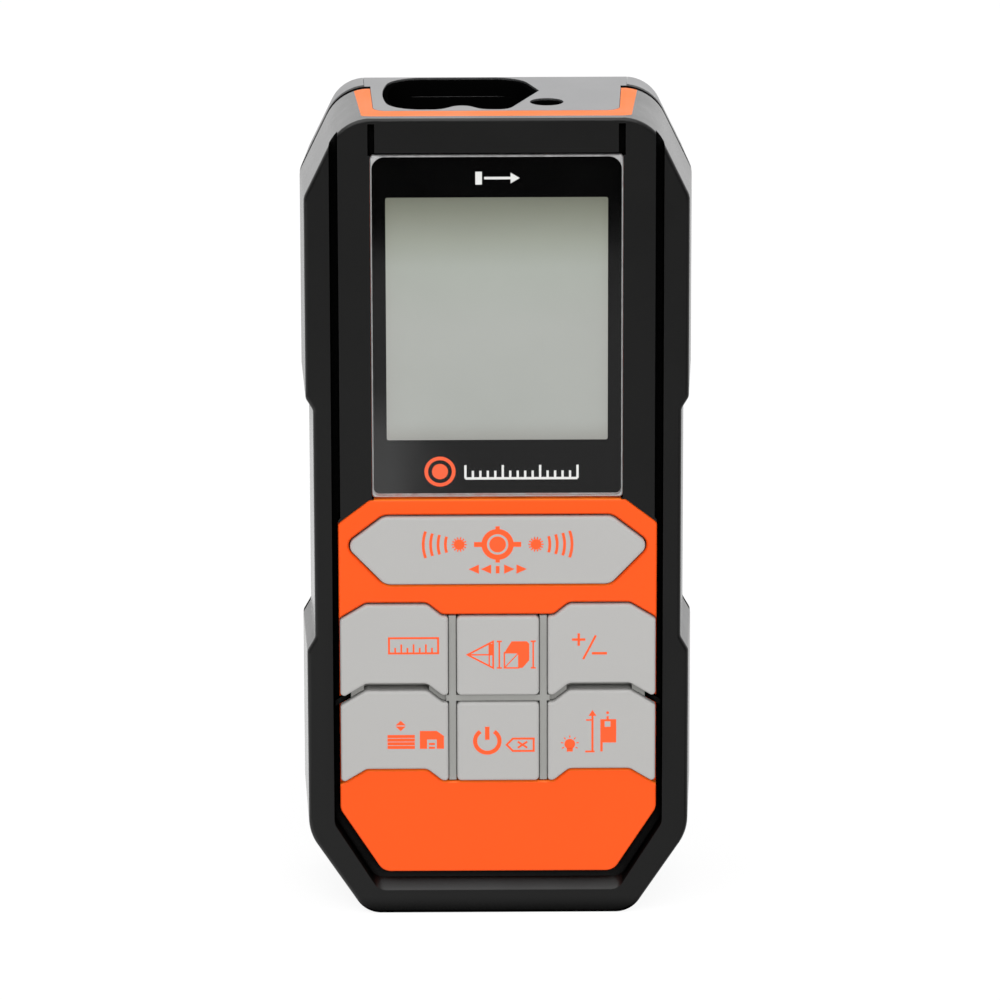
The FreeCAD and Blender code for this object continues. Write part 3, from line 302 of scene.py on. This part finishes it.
def lens_material():
    """Coated glass lens: dark, with a faint violet and green reflection."""
    material, tree = new_material("lens_glass")
    place = object_place(tree)
    facing = add(tree, "ShaderNodeLayerWeight", {"Blend": 0.35}).outputs["Facing"]
    coat = blended(tree, facing, rgb((0.30, 0.16, 0.55)), rgb((0.18, 0.55, 0.42)))
    dust = mapped(tree, noise(tree, place, 0.4 * MM, 4.0, 0.7), 0.62, 0.75, 0.02, 0.22)
    shader = add(tree, "ShaderNodeBsdfPrincipled", {
        "Base Color": rgb((0.012, 0.014, 0.02)), "Roughness": dust, "Specular Tint": coat,
        "Specular IOR Level": 0.8, "Coat Weight": 0.5, "Coat Roughness": 0.03})
    finish_material(tree, shader.outputs[0])
    return material


def liquid_crystal_material():
    """Grey-green cell with painted light: it glows evenly though the meter is off, a painted shadow of the
    frame darkens its upper edge and a little its lower edge, and it has faint column lines.
    """
    material, tree = new_material("liquid_crystal")
    place = object_place(tree)
    x, _, z = split(tree, place)
    height = mapped(tree, z, VIEW_TOP - VIEW_HEIGHT, VIEW_TOP, 0.0, 1.0)
    # the ramp is a painted shadow of the frame: darkest at the upper edge and a little darker at the lower
    # edge
    shade = add(tree, "ShaderNodeValToRGB", {0: height})
    ramp = shade.color_ramp
    stops = [(0.0, (0.69, 0.69, 0.65)), (0.06, (0.75, 0.77, 0.73)), (0.45, (0.77, 0.79, 0.745)),
             (0.70, (0.73, 0.77, 0.70)), (0.82, (0.60, 0.63, 0.54)), (0.93, (0.43, 0.45, 0.365)),
             (1.0, (0.33, 0.345, 0.27))]
    ramp.elements[0].position, ramp.elements[0].color = stops[0][0], rgb(stops[0][1])
    ramp.elements[1].position, ramp.elements[1].color = stops[-1][0], rgb(stops[-1][1])
    for position, colour in stops[1:-1]:
        ramp.elements.new(position).color = rgb(colour)
    column = 0.24 * MM
    stripes = math_node(tree, "SINE", math_node(tree, "MULTIPLY", x, 2 * math.pi / column))
    stripes = mapped(tree, stripes, 0.7, 1.0, 0.0, 0.03)
    cloud = mapped(tree, noise(tree, place, 11 * MM, 2.0), 0.35, 0.7, 0.0, 0.04)
    dim = math_node(tree, "ADD", stripes, cloud)
    base = blended(tree, dim, shade.outputs[0], rgb((0.2, 0.21, 0.18)))
    fine = noise(tree, place, 0.1 * MM, 2.0)
    grain = add(tree, "ShaderNodeBump", {"Height": fine, "Distance": 0.002 * MM})
    rough = mapped(tree, noise(tree, place, 4 * MM), 0.3, 0.7, 0.32, 0.4)
    # painted light: the cell glows by its emission, and only a tenth of its colour takes the lamps' light
    unlit = blended(tree, 0.9, base, BLACK)
    shader = add(tree, "ShaderNodeBsdfPrincipled", {
        "Base Color": unlit, "Roughness": rough, "Normal": grain.outputs[0],
        "Specular IOR Level": 0.25, "Emission Color": base, "Emission Strength": 0.495})
    finish_material(tree, shader.outputs[0])
    return material


def circuit_material():
    """Green solder mask with copper tracks showing faintly underneath."""
    material, tree = new_material("circuit_board")
    place = object_place(tree)
    tracks = add(tree, "ShaderNodeTexBrick", {
        "Vector": place, "Scale": 1 / (3.5 * MM), "Mortar Size": 0.06, "Color1": rgb((0.012, 0.12, 0.04)),
        "Color2": rgb((0.016, 0.15, 0.05)), "Mortar": rgb((0.03, 0.24, 0.08))})
    rough = mapped(tree, noise(tree, place, 2 * MM), 0.3, 0.7, 0.25, 0.4)
    shader = add(tree, "ShaderNodeBsdfPrincipled", {
        "Base Color": tracks.outputs["Color"], "Roughness": rough})
    finish_material(tree, shader.outputs[0])
    return material


def cell_jacket_material(plus_up):
    """Plain grey battery jacket with a narrow pale ring near the plus end and bare metal caps."""
    material, tree = new_material("cell_jacket_up" if plus_up else "cell_jacket_down")
    place = object_place(tree)
    _, _, z = split(tree, place)
    low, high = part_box("battery_left")
    length = high.z - low.z
    minus_z, plus_z = (low.z, high.z) if plus_up else (high.z, low.z)
    along = mapped(tree, z, minus_z, plus_z, 0.0, 1.0)
    ring_low, ring_high = 0.925, 0.95
    above_ring_low = math_node(tree, "GREATER_THAN", along, ring_low)
    below_ring_high = math_node(tree, "LESS_THAN", along, ring_high)
    pale_ring = math_node(tree, "MULTIPLY", above_ring_low, below_ring_high)
    cap = math_node(tree, "GREATER_THAN", along, 1 - 1.3 * MM / length)
    foot = math_node(tree, "LESS_THAN", along, 0.4 * MM / length)
    bare = math_node(tree, "MAXIMUM", cap, foot)
    base = blended(tree, pale_ring, rgb((0.16, 0.165, 0.17)), rgb((0.6, 0.6, 0.58)))
    base = blended(tree, bare, base, rgb((0.7, 0.7, 0.7)))
    rough = mapped(tree, noise(tree, place, 1.5 * MM), 0.3, 0.7, 0.22, 0.34)
    shader = add(tree, "ShaderNodeBsdfPrincipled", {
        "Base Color": base, "Metallic": bare, "Roughness": rough})
    finish_material(tree, shader.outputs[0])
    return material


def ink_material(name, colour):
    """Screen-printed ink: slightly uneven cover and a soft sheen."""
    material, tree = new_material(name)
    place = object_place(tree)
    fine = noise(tree, place, 0.3 * MM, 3.0, 0.6)
    base = blended(tree, fine, rgb(colour, 0.92), rgb(colour, 1.06))
    bump = add(tree, "ShaderNodeBump", {"Height": fine, "Distance": 0.003 * MM})
    shader = add(tree, "ShaderNodeBsdfPrincipled", {
        "Base Color": base, "Roughness": mapped(tree, fine, 0.3, 0.7, 0.4, 0.55), "Normal": bump.outputs[0]})
    finish_material(tree, shader.outputs[0])
    return material


# ---------------------------------------------------------------- materials on the CAD pieces
def paint(names, material):
    """Put one material on every slot of the named CAD nodes."""
    for name in names:
        slots = nodes[name].data.materials
        if len(slots) == 0:
            slots.append(material)
        for index in range(len(slots)):
            slots[index] = material


KEYS = [name for name in nodes if name.endswith("_key")]
CASE_GREY = (0.325, 0.325, 0.33)
JET_BLACK = (0.002, 0.002, 0.002)
# yellower orange painted on faces that look up, as a painted highlight
HIGHLIGHT_ORANGE = (0.95, 0.19, 0.012)

# the orange shell and the soft black grip over it
# painted highlight: faces of the orange shell that look up are tinted yellower
paint(["front_housing"], moulded(
    "orange_plastic", (0.92, 0.086, 0.004), roughness=0.42, grain=0.22, depth=0.004, mottle=0.02,
    edge=0.10, bevel=0.12, specular=0.25, tint=(upward, HIGHLIGHT_ORANGE)))
# painted shade darkens the grip's narrow grooves
paint(["front_grip", "rear_grip_left", "rear_grip_right"], moulded(
    "black_rubber", (0.0035, 0.0035, 0.0034), roughness=0.42, grain=0.16, depth=0.004, mottle=0.06,
    edge=0.02, bevel=0.10, specular=0.32, scuff=0.08, coat=1.0, crevice=2.6))
paint(["housing_gasket"], moulded(
    "gasket_rubber", JET_BLACK, roughness=0.7, grain=0.2, depth=0.006, mottle=0.05,
    edge=0.0, bevel=0.05, specular=0.0))

# the grey rear shell, end plate and door
# painted shade darkens narrow grooves and screw wells of the grey parts
paint(["end_cap", "battery_door"], moulded(
    "grey_plastic", CASE_GREY, roughness=0.5, grain=0.2, depth=0.005, mottle=0.03,
    edge=0.10, bevel=0.10, specular=0.4, scuff=0.06, crevice=2.0))
# painted shade: the rear shell's front lip is painted black so the seam shows as a wide dark line
paint(["rear_housing"], moulded(
    "grey_shell_plastic", CASE_GREY, roughness=0.5, grain=0.2, depth=0.005, mottle=0.03,
    edge=0.10, bevel=0.10, specular=0.4, scuff=0.06, crevice=2.0, tint=(joint_lip, JET_BLACK)))

# keys and the mat between them
# the keys' edges are lightened strongly: partly rubbed, partly painted highlight
paint(KEYS, moulded(
    "key_plastic", (0.41, 0.405, 0.395), roughness=0.48, grain=0.2, depth=0.003, mottle=0.012,
    edge=0.45, bevel=0.16, specular=0.35))
paint(["keypad_mat"], moulded(
    "grey_silicone", (0.30, 0.30, 0.285), roughness=0.6, grain=0.25, depth=0.005, mottle=0.03,
    edge=0.1, bevel=0.1, specular=0.3))

# display
paint(["display_window"], window_material())
paint(["display_gasket"], moulded(
    "black_film", (0.0008, 0.0008, 0.0008), roughness=0.5, grain=0.3, depth=0.003, mottle=0.05,
    edge=0.0, bevel=0.05, specular=0.0))
paint(["lcd_panel"], liquid_crystal_material())
paint(["lcd_backlight", "lcd_frame"], moulded(
    "white_plastic", (0.7, 0.7, 0.69), roughness=0.4, grain=0.3, depth=0.004, mottle=0.02,
    edge=0.1, bevel=0.05))
paint(["lcd_connector"], moulded(
    "conductive_rubber", (0.2, 0.2, 0.22), roughness=0.6, grain=0.2, depth=0.006, mottle=0.05,
    edge=0.0, bevel=0.05))

# electronics and optics
paint(["main_pcb", "receiver_board"], circuit_material())
paint(["main_chip", "board_parts", "buzzer"], moulded(
    "chip_plastic", (0.02, 0.02, 0.021), roughness=0.5, grain=0.15, depth=0.006, mottle=0.05,
    edge=0.05, bevel=0.05))
paint(["optical_chassis"], moulded(
    "black_plastic", (0.0015, 0.0015, 0.0015), roughness=0.75, grain=0.25, depth=0.010, mottle=0.05,
    edge=0.0, bevel=0.08, specular=0.0))
paint(["receiver_lens", "collimator_lens"], lens_material())
paint(["laser_barrel", "laser_diode"],
      metal("brass", (0.72, 0.50, 0.20), roughness=0.28, brush=(0.05, 0.05, 1.0)))
paint(["shield_can", "photodetector"], metal("tin_plate", (0.62, 0.62, 0.60), roughness=0.35))

# fasteners, contacts and cells
paint(["housing_screws", "board_screws", "optics_screws"],
      metal("steel", (0.55, 0.55, 0.56), roughness=0.32, brush=(1.0, 1.0, 1.0)))
paint(["battery_springs", "battery_link", "battery_contacts", "dome_switches"],
      metal("nickel", (0.70, 0.69, 0.66), roughness=0.22, brush=(1.0, 1.0, 1.0)))
paint(["battery_left"], cell_jacket_material(True))
paint(["battery_right"], cell_jacket_material(False))
paint(["battery_wires"], moulded(
    "wire_insulation", (0.5, 0.02, 0.015), roughness=0.4, grain=0.4, depth=0.003, mottle=0.05,
    edge=0.0, bevel=0.05))

ORANGE_INK = ink_material("orange_ink", (0.95, 0.095, 0.012))
WHITE_INK = ink_material("white_ink", (0.75, 0.75, 0.74))


def new_piece(name, mesh, material):
    """Put a finished bmesh in the scene as an object with one material."""
    data = bpy.data.meshes.new(name)
    mesh.to_mesh(data)
    mesh.free()
    data.materials.append(material)
    piece = bpy.data.objects.new(name, data)
    bpy.context.scene.collection.objects.link(piece)
    return piece


# ---------------------------------------------------------------- printed marks
# A mark is a list of polygons of (x, z) points in millimetres, measured from the middle of what carries it.
def disc(x, z, radius, steps=40):
    """Return a filled circle as one polygon."""
    return [arc_points(x, z, radius, 0, 360, steps)[:-1]]


def arc_points(x, z, radius, start, end, steps=28):
    """Return points on an arc; angles in degrees, anticlockwise from +X."""
    angles = [math.radians(start + (end - start) * i / steps) for i in range(steps + 1)]
    return [(x + radius * math.cos(a), z + radius * math.sin(a)) for a in angles]


def line(points, width, closed=False):
    """Return a stroked line through points as mitred quads."""
    count = len(points)
    sharpest = 0.35            # keeps the mitre short at sharp corners
    left, right = [], []
    for index, (x, z) in enumerate(points):
        ways = []
        if closed or index > 0:
            px, pz = points[index - 1]
            ways.append(Vector((x - px, z - pz)).normalized())
        if closed or index < count - 1:
            nx, nz = points[(index + 1) % count]
            ways.append(Vector((nx - x, nz - z)).normalized())
        way = sum(ways, Vector((0, 0))).normalized()
        across = Vector((-way.y, way.x))
        turn = across.dot(Vector((-ways[0].y, ways[0].x)))
        reach = width / 2 / max(sharpest, turn)
        left.append((x + across.x * reach, z + across.y * reach))
        right.append((x - across.x * reach, z - across.y * reach))
    quads = []
    for index in range(count if closed else count - 1):
        after = (index + 1) % count
        quads.append([right[index], right[after], left[after], left[index]])
    return quads


def ring(x, z, radius, width):
    """Return a circle drawn with a line."""
    return line(arc_points(x, z, radius, 0, 360)[:-1], width, closed=True)


def rectangle(x0, x1, z0, z1):
    """Return a filled box as one polygon."""
    return [[(x0, z0), (x1, z0), (x1, z1), (x0, z1)]]


def spokes(x, z, near, far, count, width, start=0.0, step=None):
    """Return short lines that point away from a centre."""
    marks = []
    for index in range(count):
        angle = math.radians(start + index * (step or 360 / count))
        ray = (math.cos(angle), math.sin(angle))
        marks += line([(x + near * ray[0], z + near * ray[1]), (x + far * ray[0], z + far * ray[1])], width)
    return marks


def printed(name, polygons, middle, body, ink):
    """Lay polygons as a thin coat of ink on a face that looks towards -Y; middle is a point on that face."""
    mesh = bmesh.new()
    for layer, polygon in enumerate(polygons):
        top = middle.y - INK - layer * INK_STEP
        places = [(middle.x + x * MM, middle.z + z * MM) for x, z in polygon]
        front = [mesh.verts.new((x, top, z)) for x, z in places]
        back = [mesh.verts.new((x, middle.y + INK, z)) for x, z in places]
        mesh.faces.new(front)
        mesh.faces.new(back[::-1])
        count = len(polygon)
        for index in range(count):
            after = (index + 1) % count
            mesh.faces.new((front[after], front[index], back[index], back[after]))
    bmesh.ops.recalc_face_normals(mesh, faces=mesh.faces)
    piece = new_piece(name, mesh, ink)
    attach(piece, body)


def print_on_key(key, polygons):
    """Print a legend on a key's face; it moves with the key."""
    low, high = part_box(key)
    middle = Vector(((low.x + high.x) / 2, low.y, (low.z + high.z) / 2))
    name = key.replace("_key", "_legend")
    printed(name, polygons, middle, nodes[key]["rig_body"], ORANGE_INK)


def measure_legend():
    """Target with a burst and four beam arcs on each side, above four small arrows."""
    target_z = 0.95
    arrows_z = -2.6
    burst_x = 5.3
    first_arc, arc_pitch = 7.2, 1.02
    marks = ring(0, target_z, 1.85, 0.75) + disc(0, target_z, 1.15)
    marks += spokes(0, target_z, 2.2, 2.6, 2, 0.6, 90)
    marks += spokes(0, target_z, 2.2, 3.25, 2, 0.7)
    for side in (-1, 1):
        facing = 0 if side > 0 else 180
        for step, half in enumerate((1.15, 1.4, 1.6, 1.9)):
            radius = 4.2 + 0.5 * step
            spread = math.degrees(math.asin(half / radius))
            centre = side * (first_arc + arc_pitch * step - radius)
            marks += line(arc_points(centre, target_z, radius, facing - spread, facing + spread), 0.38)
        marks += disc(side * burst_x, target_z, 0.72)
        marks += spokes(side * burst_x, target_z, 0.65, 1.05, 14, 0.17)
        for back in (0.9, 2.6):
            tip = side * (back + 1.4)
            marks.append([(side * back, arrows_z + 0.65), (tip, arrows_z), (side * back, arrows_z - 0.65)])
    marks += rectangle(-0.25, 0.25, arrows_z - 0.6, arrows_z + 0.45)
    return marks


def unit_legend():
    """Short ruler with divisions."""
    left, right, low, high = -0.7, 6.1, -0.35, 1.85
    marks = line([(left, low), (right, low), (right, high), (left, high)], 0.28, closed=True)
    count = 7
    for step in range(1, count + 1):
        x = left + step * (right - left) / (count + 1)
        marks += line([(x, low), (x, low + (1.3 if step % 2 == 0 else 0.8))], 0.24)
    return marks


def function_legend():
    """Triangle and box, each with its height marked beside it."""
    low, high = -1.7, 2.15
    thin, thick = 0.2, 0.24
    corner_z = (low + high) / 2
    marks = line([(-4.2, corner_z), (-0.65, high), (-0.65, low)], thick, closed=True)
    marks += line([(-3.9, corner_z), (-0.65, corner_z)], thin)
    marks += line([(-1.2, high - 0.35), (-1.2, low + 0.3)], 0.18)
    marks += rectangle(-1.2, -0.65, corner_z, high - 0.35)
    for x in (0.2, 4.9):
        marks += line([(x, low), (x, high)], 0.22)
        for end in (low, high):
            marks += line([(x - 0.35, end), (x + 0.35, end)], 0.22)
    face_left, face_right, face_top = 0.9, 2.9, 0.5
    corners = [(face_left, low), (face_right, low), (face_right, face_top), (face_left, face_top)]
    marks += line(corners, thin, closed=True)
    marks += line([(face_left, low), (face_right, face_top)], 0.15)
    back_right, back_top = 4.35, high - 0.35
    near_corner = (face_right, face_top)
    far_corner = (back_right, back_top)
    marks.append([(face_left, face_top), near_corner, far_corner, (4.0, high), (1.9, high)])
    marks.append([(face_right, low), (3.4, low), (back_right, -0.6), far_corner, near_corner])
    return marks


def plus_minus_legend():
    """Plus and minus with a slash between."""
    marks = line([(-4.1, 1.55), (-2.25, 1.55)], 0.34)
    marks += line([(-3.17, 0.65), (-3.17, 2.45)], 0.34)
    marks += line([(-0.8, 2.15), (-2.55, -1.3)], 0.3)
    marks += line([(-1.35, -0.45), (0.75, -0.45)], 0.36)
    return marks


def memory_legend():
    """List of lines with up and down arrows, and a storage card."""
    arrows_x, arrows_z = 0.85, 1.55
    low = -1.8
    marks = []
    for way in (-1, 1):
        base = arrows_z + way * 0.08
        marks.append([(arrows_x - 0.7, base), (arrows_x + 0.7, base), (arrows_x, arrows_z + way * 0.75)])
    for step in range(4):
        bar = low + step * 0.53
        marks += rectangle(-1.0, 2.8, bar, bar + 0.44)
    left, right, high = 3.5, 6.85, 0.8
    door_left, door_right, door_high = 4.5, 5.85, -0.45
    marks += rectangle(left, door_left, low, high)
    marks.append([(door_right, low), (right, low), (right, high - 0.75), (door_right, high)])
    marks += rectangle(door_left, door_right, door_high, high)
    for shelf in (low, low + 0.55):
        marks += rectangle(door_left + 0.25, door_right - 0.25, shelf, shelf + 0.3)
    return marks


def power_legend():
    """Power sign, and an arrow-shaped box with a cross for clearing."""
    x, z = -1.5, 0.1
    marks = line(arc_points(x, z, 1.7, 125, 415), 0.58)
    marks += line([(x, z + 0.2), (x, z + 2.1)], 0.62)
    tip, left, right = 1.2, 2.05, 4.95
    middle, half = z - 0.55, 0.9
    low, high = middle - half, middle + half
    marks += line([(tip, middle), (left, high), (right, high), (right, low), (left, low)], 0.28, closed=True)
    for slant in (-1, 1):
        marks += line([(2.75, middle - slant * 0.45), (4.05, middle + slant * 0.45)], 0.28)
    return marks


def reference_legend():
    """Lamp for the display light, and a meter beside an arrow from the end it measures from."""
    foot = -2.3
    lamp_x, lamp_z = -4.4, -1.2
    marks = disc(lamp_x, lamp_z, 0.75)
    marks += rectangle(lamp_x - 0.42, lamp_x + 0.42, foot, lamp_z - 0.55)
    marks += spokes(lamp_x, lamp_z, 0.92, 1.25, 7, 0.16, -30, 40)
    arrow_x = -1.25
    marks += line([(arrow_x, foot), (arrow_x, 3.0)], 0.28)
    marks.append([(arrow_x - 0.55, 2.9), (arrow_x + 0.55, 2.9), (arrow_x, 3.75)])
    marks += line([(arrow_x - 1.0, foot), (arrow_x + 0.3, foot)], 0.26)
    marks += line([(arrow_x - 0.9, 2.3), (arrow_x, 2.3)], 0.22)
    left, right, low, high = -0.15, 2.05, -1.0, 2.4
    view_left, view_right, view_low = 0.45, 1.25, 1.3
    marks += rectangle(left, right, low, view_low)
    marks += rectangle(left, view_left, view_low, high)
    marks += rectangle(view_right, right, view_low, high)
    marks += rectangle(view_left, view_right, high - 0.3, high)
    marks += rectangle(left, left + 0.32, foot, low)
    marks += rectangle(0.7, 1.0, high, high + 0.45)
    marks += disc(0.85, high + 0.95, 0.2)
    return marks


def window_marks():
    """Plain marks on the window's mask: a beam sign above the display, a spot and a scale below it."""
    face_y = MASK_LOW.y
    above = Vector((0, face_y, WINDOW_HIGH.z - 3.45 * MM))
    beam = rectangle(-2.9, -2.0, -0.9, 0.9)
    beam += line([(-1.7, 0), (2.1, 0)], 0.36)
    beam.append([(1.9, 0.75), (3.15, 0), (1.9, -0.75)])
    printed("beam_mark", beam, above, "case", WHITE_INK)
    below = Vector((0, face_y, WINDOW_LOW.z + 3.2 * MM))
    foot, left = -0.9, -4.4
    divisions, pitch = 15, 1.03
    short, tall = 1.1, 1.9
    scale = line([(left, foot), (left + divisions * pitch, foot)], 0.34)
    for step in range(divisions + 1):
        height = tall if step % 5 == 0 else short
        scale += line([(left + step * pitch, foot), (left + step * pitch, foot + height)], 0.32)
    printed("scale_mark", scale, below, "case", WHITE_INK)
    spot_x, spot_z = -7.9, 0.1
    spot = disc(spot_x, spot_z, 1.1) + ring(spot_x, spot_z, 1.9, 0.5)
    printed("spot_mark", spot, below, "case", ORANGE_INK)


print_on_key("measure_key", measure_legend())
print_on_key("unit_key", unit_legend())
print_on_key("function_key", function_legend())
print_on_key("plus_minus_key", plus_minus_legend())
print_on_key("memory_key", memory_legend())
print_on_key("power_key", power_legend())
print_on_key("reference_key", reference_legend())
window_marks()


# ---------------------------------------------------------------- stage
def make_floor():
    """Pale floor with a glow of its own: it meets the white background and takes only a faint shadow."""
    half_size = 6.0
    mesh = bmesh.new()
    bmesh.ops.create_grid(mesh, x_segments=2, y_segments=2, size=half_size)
    material, tree = new_material("floor_paper")
    place = object_place(tree)
    base = blended(tree, noise(tree, place, 0.3), rgb((0.86, 0.86, 0.86)), rgb((0.9, 0.9, 0.9)))
    paper = add(tree, "ShaderNodeBsdfDiffuse", {"Color": base, "Roughness": 0.5})
    glow = add(tree, "ShaderNodeEmission", {"Color": WHITE, "Strength": 1.04})
    shader = add(tree, "ShaderNodeMixShader", {0: 0.86, 1: paper.outputs[0], 2: glow.outputs[0]})
    finish_material(tree, shader.outputs[0])
    floor = new_piece("floor", mesh, material)
    gap = 0.02 * MM
    floor.location.z = cad_bounds[0][2] - gap
    floor.visible_glossy = False


def soft_light(name, place, aim, size, power, glossy=True):
    """Add a square soft light that shines from place towards aim."""
    light = bpy.data.lights.new(name, "AREA")
    light.shape = "SQUARE"
    light.size = size
    light.energy = power
    lamp = bpy.data.objects.new(name, light)
    bpy.context.scene.collection.objects.link(lamp)
    lamp.location = place
    lamp.rotation_euler = (Vector(aim) - Vector(place)).to_track_quat("-Z", "Y").to_euler()
    lamp.visible_glossy = glossy
    lamp.visible_camera = False


def make_world():
    """White studio: even light all round, but mirror reflections see dark on the camera's side.

    The numbers are parts of the direction that a reflection looks in: across, away and up.  Below the
    horizon the front face mirrors a pale table and a small card low on the left."""
    world = bpy.data.worlds.new("studio")
    bpy.context.scene.world = world
    world.use_nodes = True
    tree = world.node_tree
    tree.nodes.clear()
    path = add(tree, "ShaderNodeLightPath")
    way = add(tree, "ShaderNodeTexCoord").outputs["Generated"]
    across, away, up = split(tree, way)
    backdrop = mapped(tree, away, -0.70, 0.05, 0.0, 1.0)
    low_dimming = mapped(tree, up, -0.25, 0.15, 0.68, 1.0)
    behind = math_node(tree, "MULTIPLY", backdrop, low_dimming)
    above = mapped(tree, up, 0.1, 0.8, 0.0, 0.45)
    table = mapped(tree, up, -0.244, -0.239, 0.33, 0.0)
    card_side = mapped(tree, across, -0.0055, -0.0047, 0.6, 0.0)
    card_low = mapped(tree, up, -0.265, -0.2637, 1.0, 0.0)
    card = math_node(tree, "MULTIPLY", card_side, card_low)
    below = math_node(tree, "ADD", table, card)
    bright = math_node(tree, "MAXIMUM", math_node(tree, "MAXIMUM", behind, above), below)
    darkest = 0.02
    mirror = math_node(tree, "MAXIMUM", bright, darkest)
    ambient = add(tree, "ShaderNodeBackground", {"Color": WHITE, "Strength": 0.5})
    seen = add(tree, "ShaderNodeBackground", {"Color": WHITE, "Strength": 1.0})
    reflected = add(tree, "ShaderNodeBackground", {"Color": WHITE, "Strength": mirror})
    mixed = add(tree, "ShaderNodeMixShader", {0: path.outputs["Is Glossy Ray"], 1: ambient.outputs[0],
                                              2: reflected.outputs[0]})
    final = add(tree, "ShaderNodeMixShader", {0: path.outputs["Is Camera Ray"], 1: mixed.outputs[0],
                                              2: seen.outputs[0]})
    add(tree, "ShaderNodeOutputWorld", {"Surface": final.outputs[0]})


def make_camera():
    """Camera a little above the meter and very slightly to its left, square to its front face."""
    elevation = math.radians(16.0)
    yaw = math.radians(0.4)
    roll = math.radians(-0.14)
    distance = 0.975
    aim = Vector((0, 0, LENGTH / 2))
    data = bpy.data.cameras.new("camera")
    data.sensor_width = 36.0
    data.lens = 251.3
    data.shift_x = 0.0032
    data.shift_y = -0.0038
    camera = bpy.data.objects.new("camera", data)
    bpy.context.scene.collection.objects.link(camera)
    level = math.cos(elevation)
    back = Vector((-math.sin(yaw) * level, -math.cos(yaw) * level, math.sin(elevation)))
    camera.location = aim + distance * back
    turn = (-back).to_track_quat("-Z", "Y")
    camera.rotation_euler = (turn @ Quaternion((0, 0, 1), roll)).to_euler()
    bpy.context.scene.camera = camera


make_floor()
make_world()
MIDDLE = (0, 0, LENGTH / 2)
soft_light("top_light", (-0.15, -0.45, 0.85), MIDDLE, 1.1, 6.0)
soft_light("front_light", (0.3, -1.1, 0.35), MIDDLE, 0.7, 4.5, False)
soft_light("back_light", (0.5, 0.9, 0.6), MIDDLE, 0.8, 4.0, False)
make_camera()
bpy.context.scene.view_settings.view_transform = "Standard"
bpy.context.scene.view_settings.look = "None"
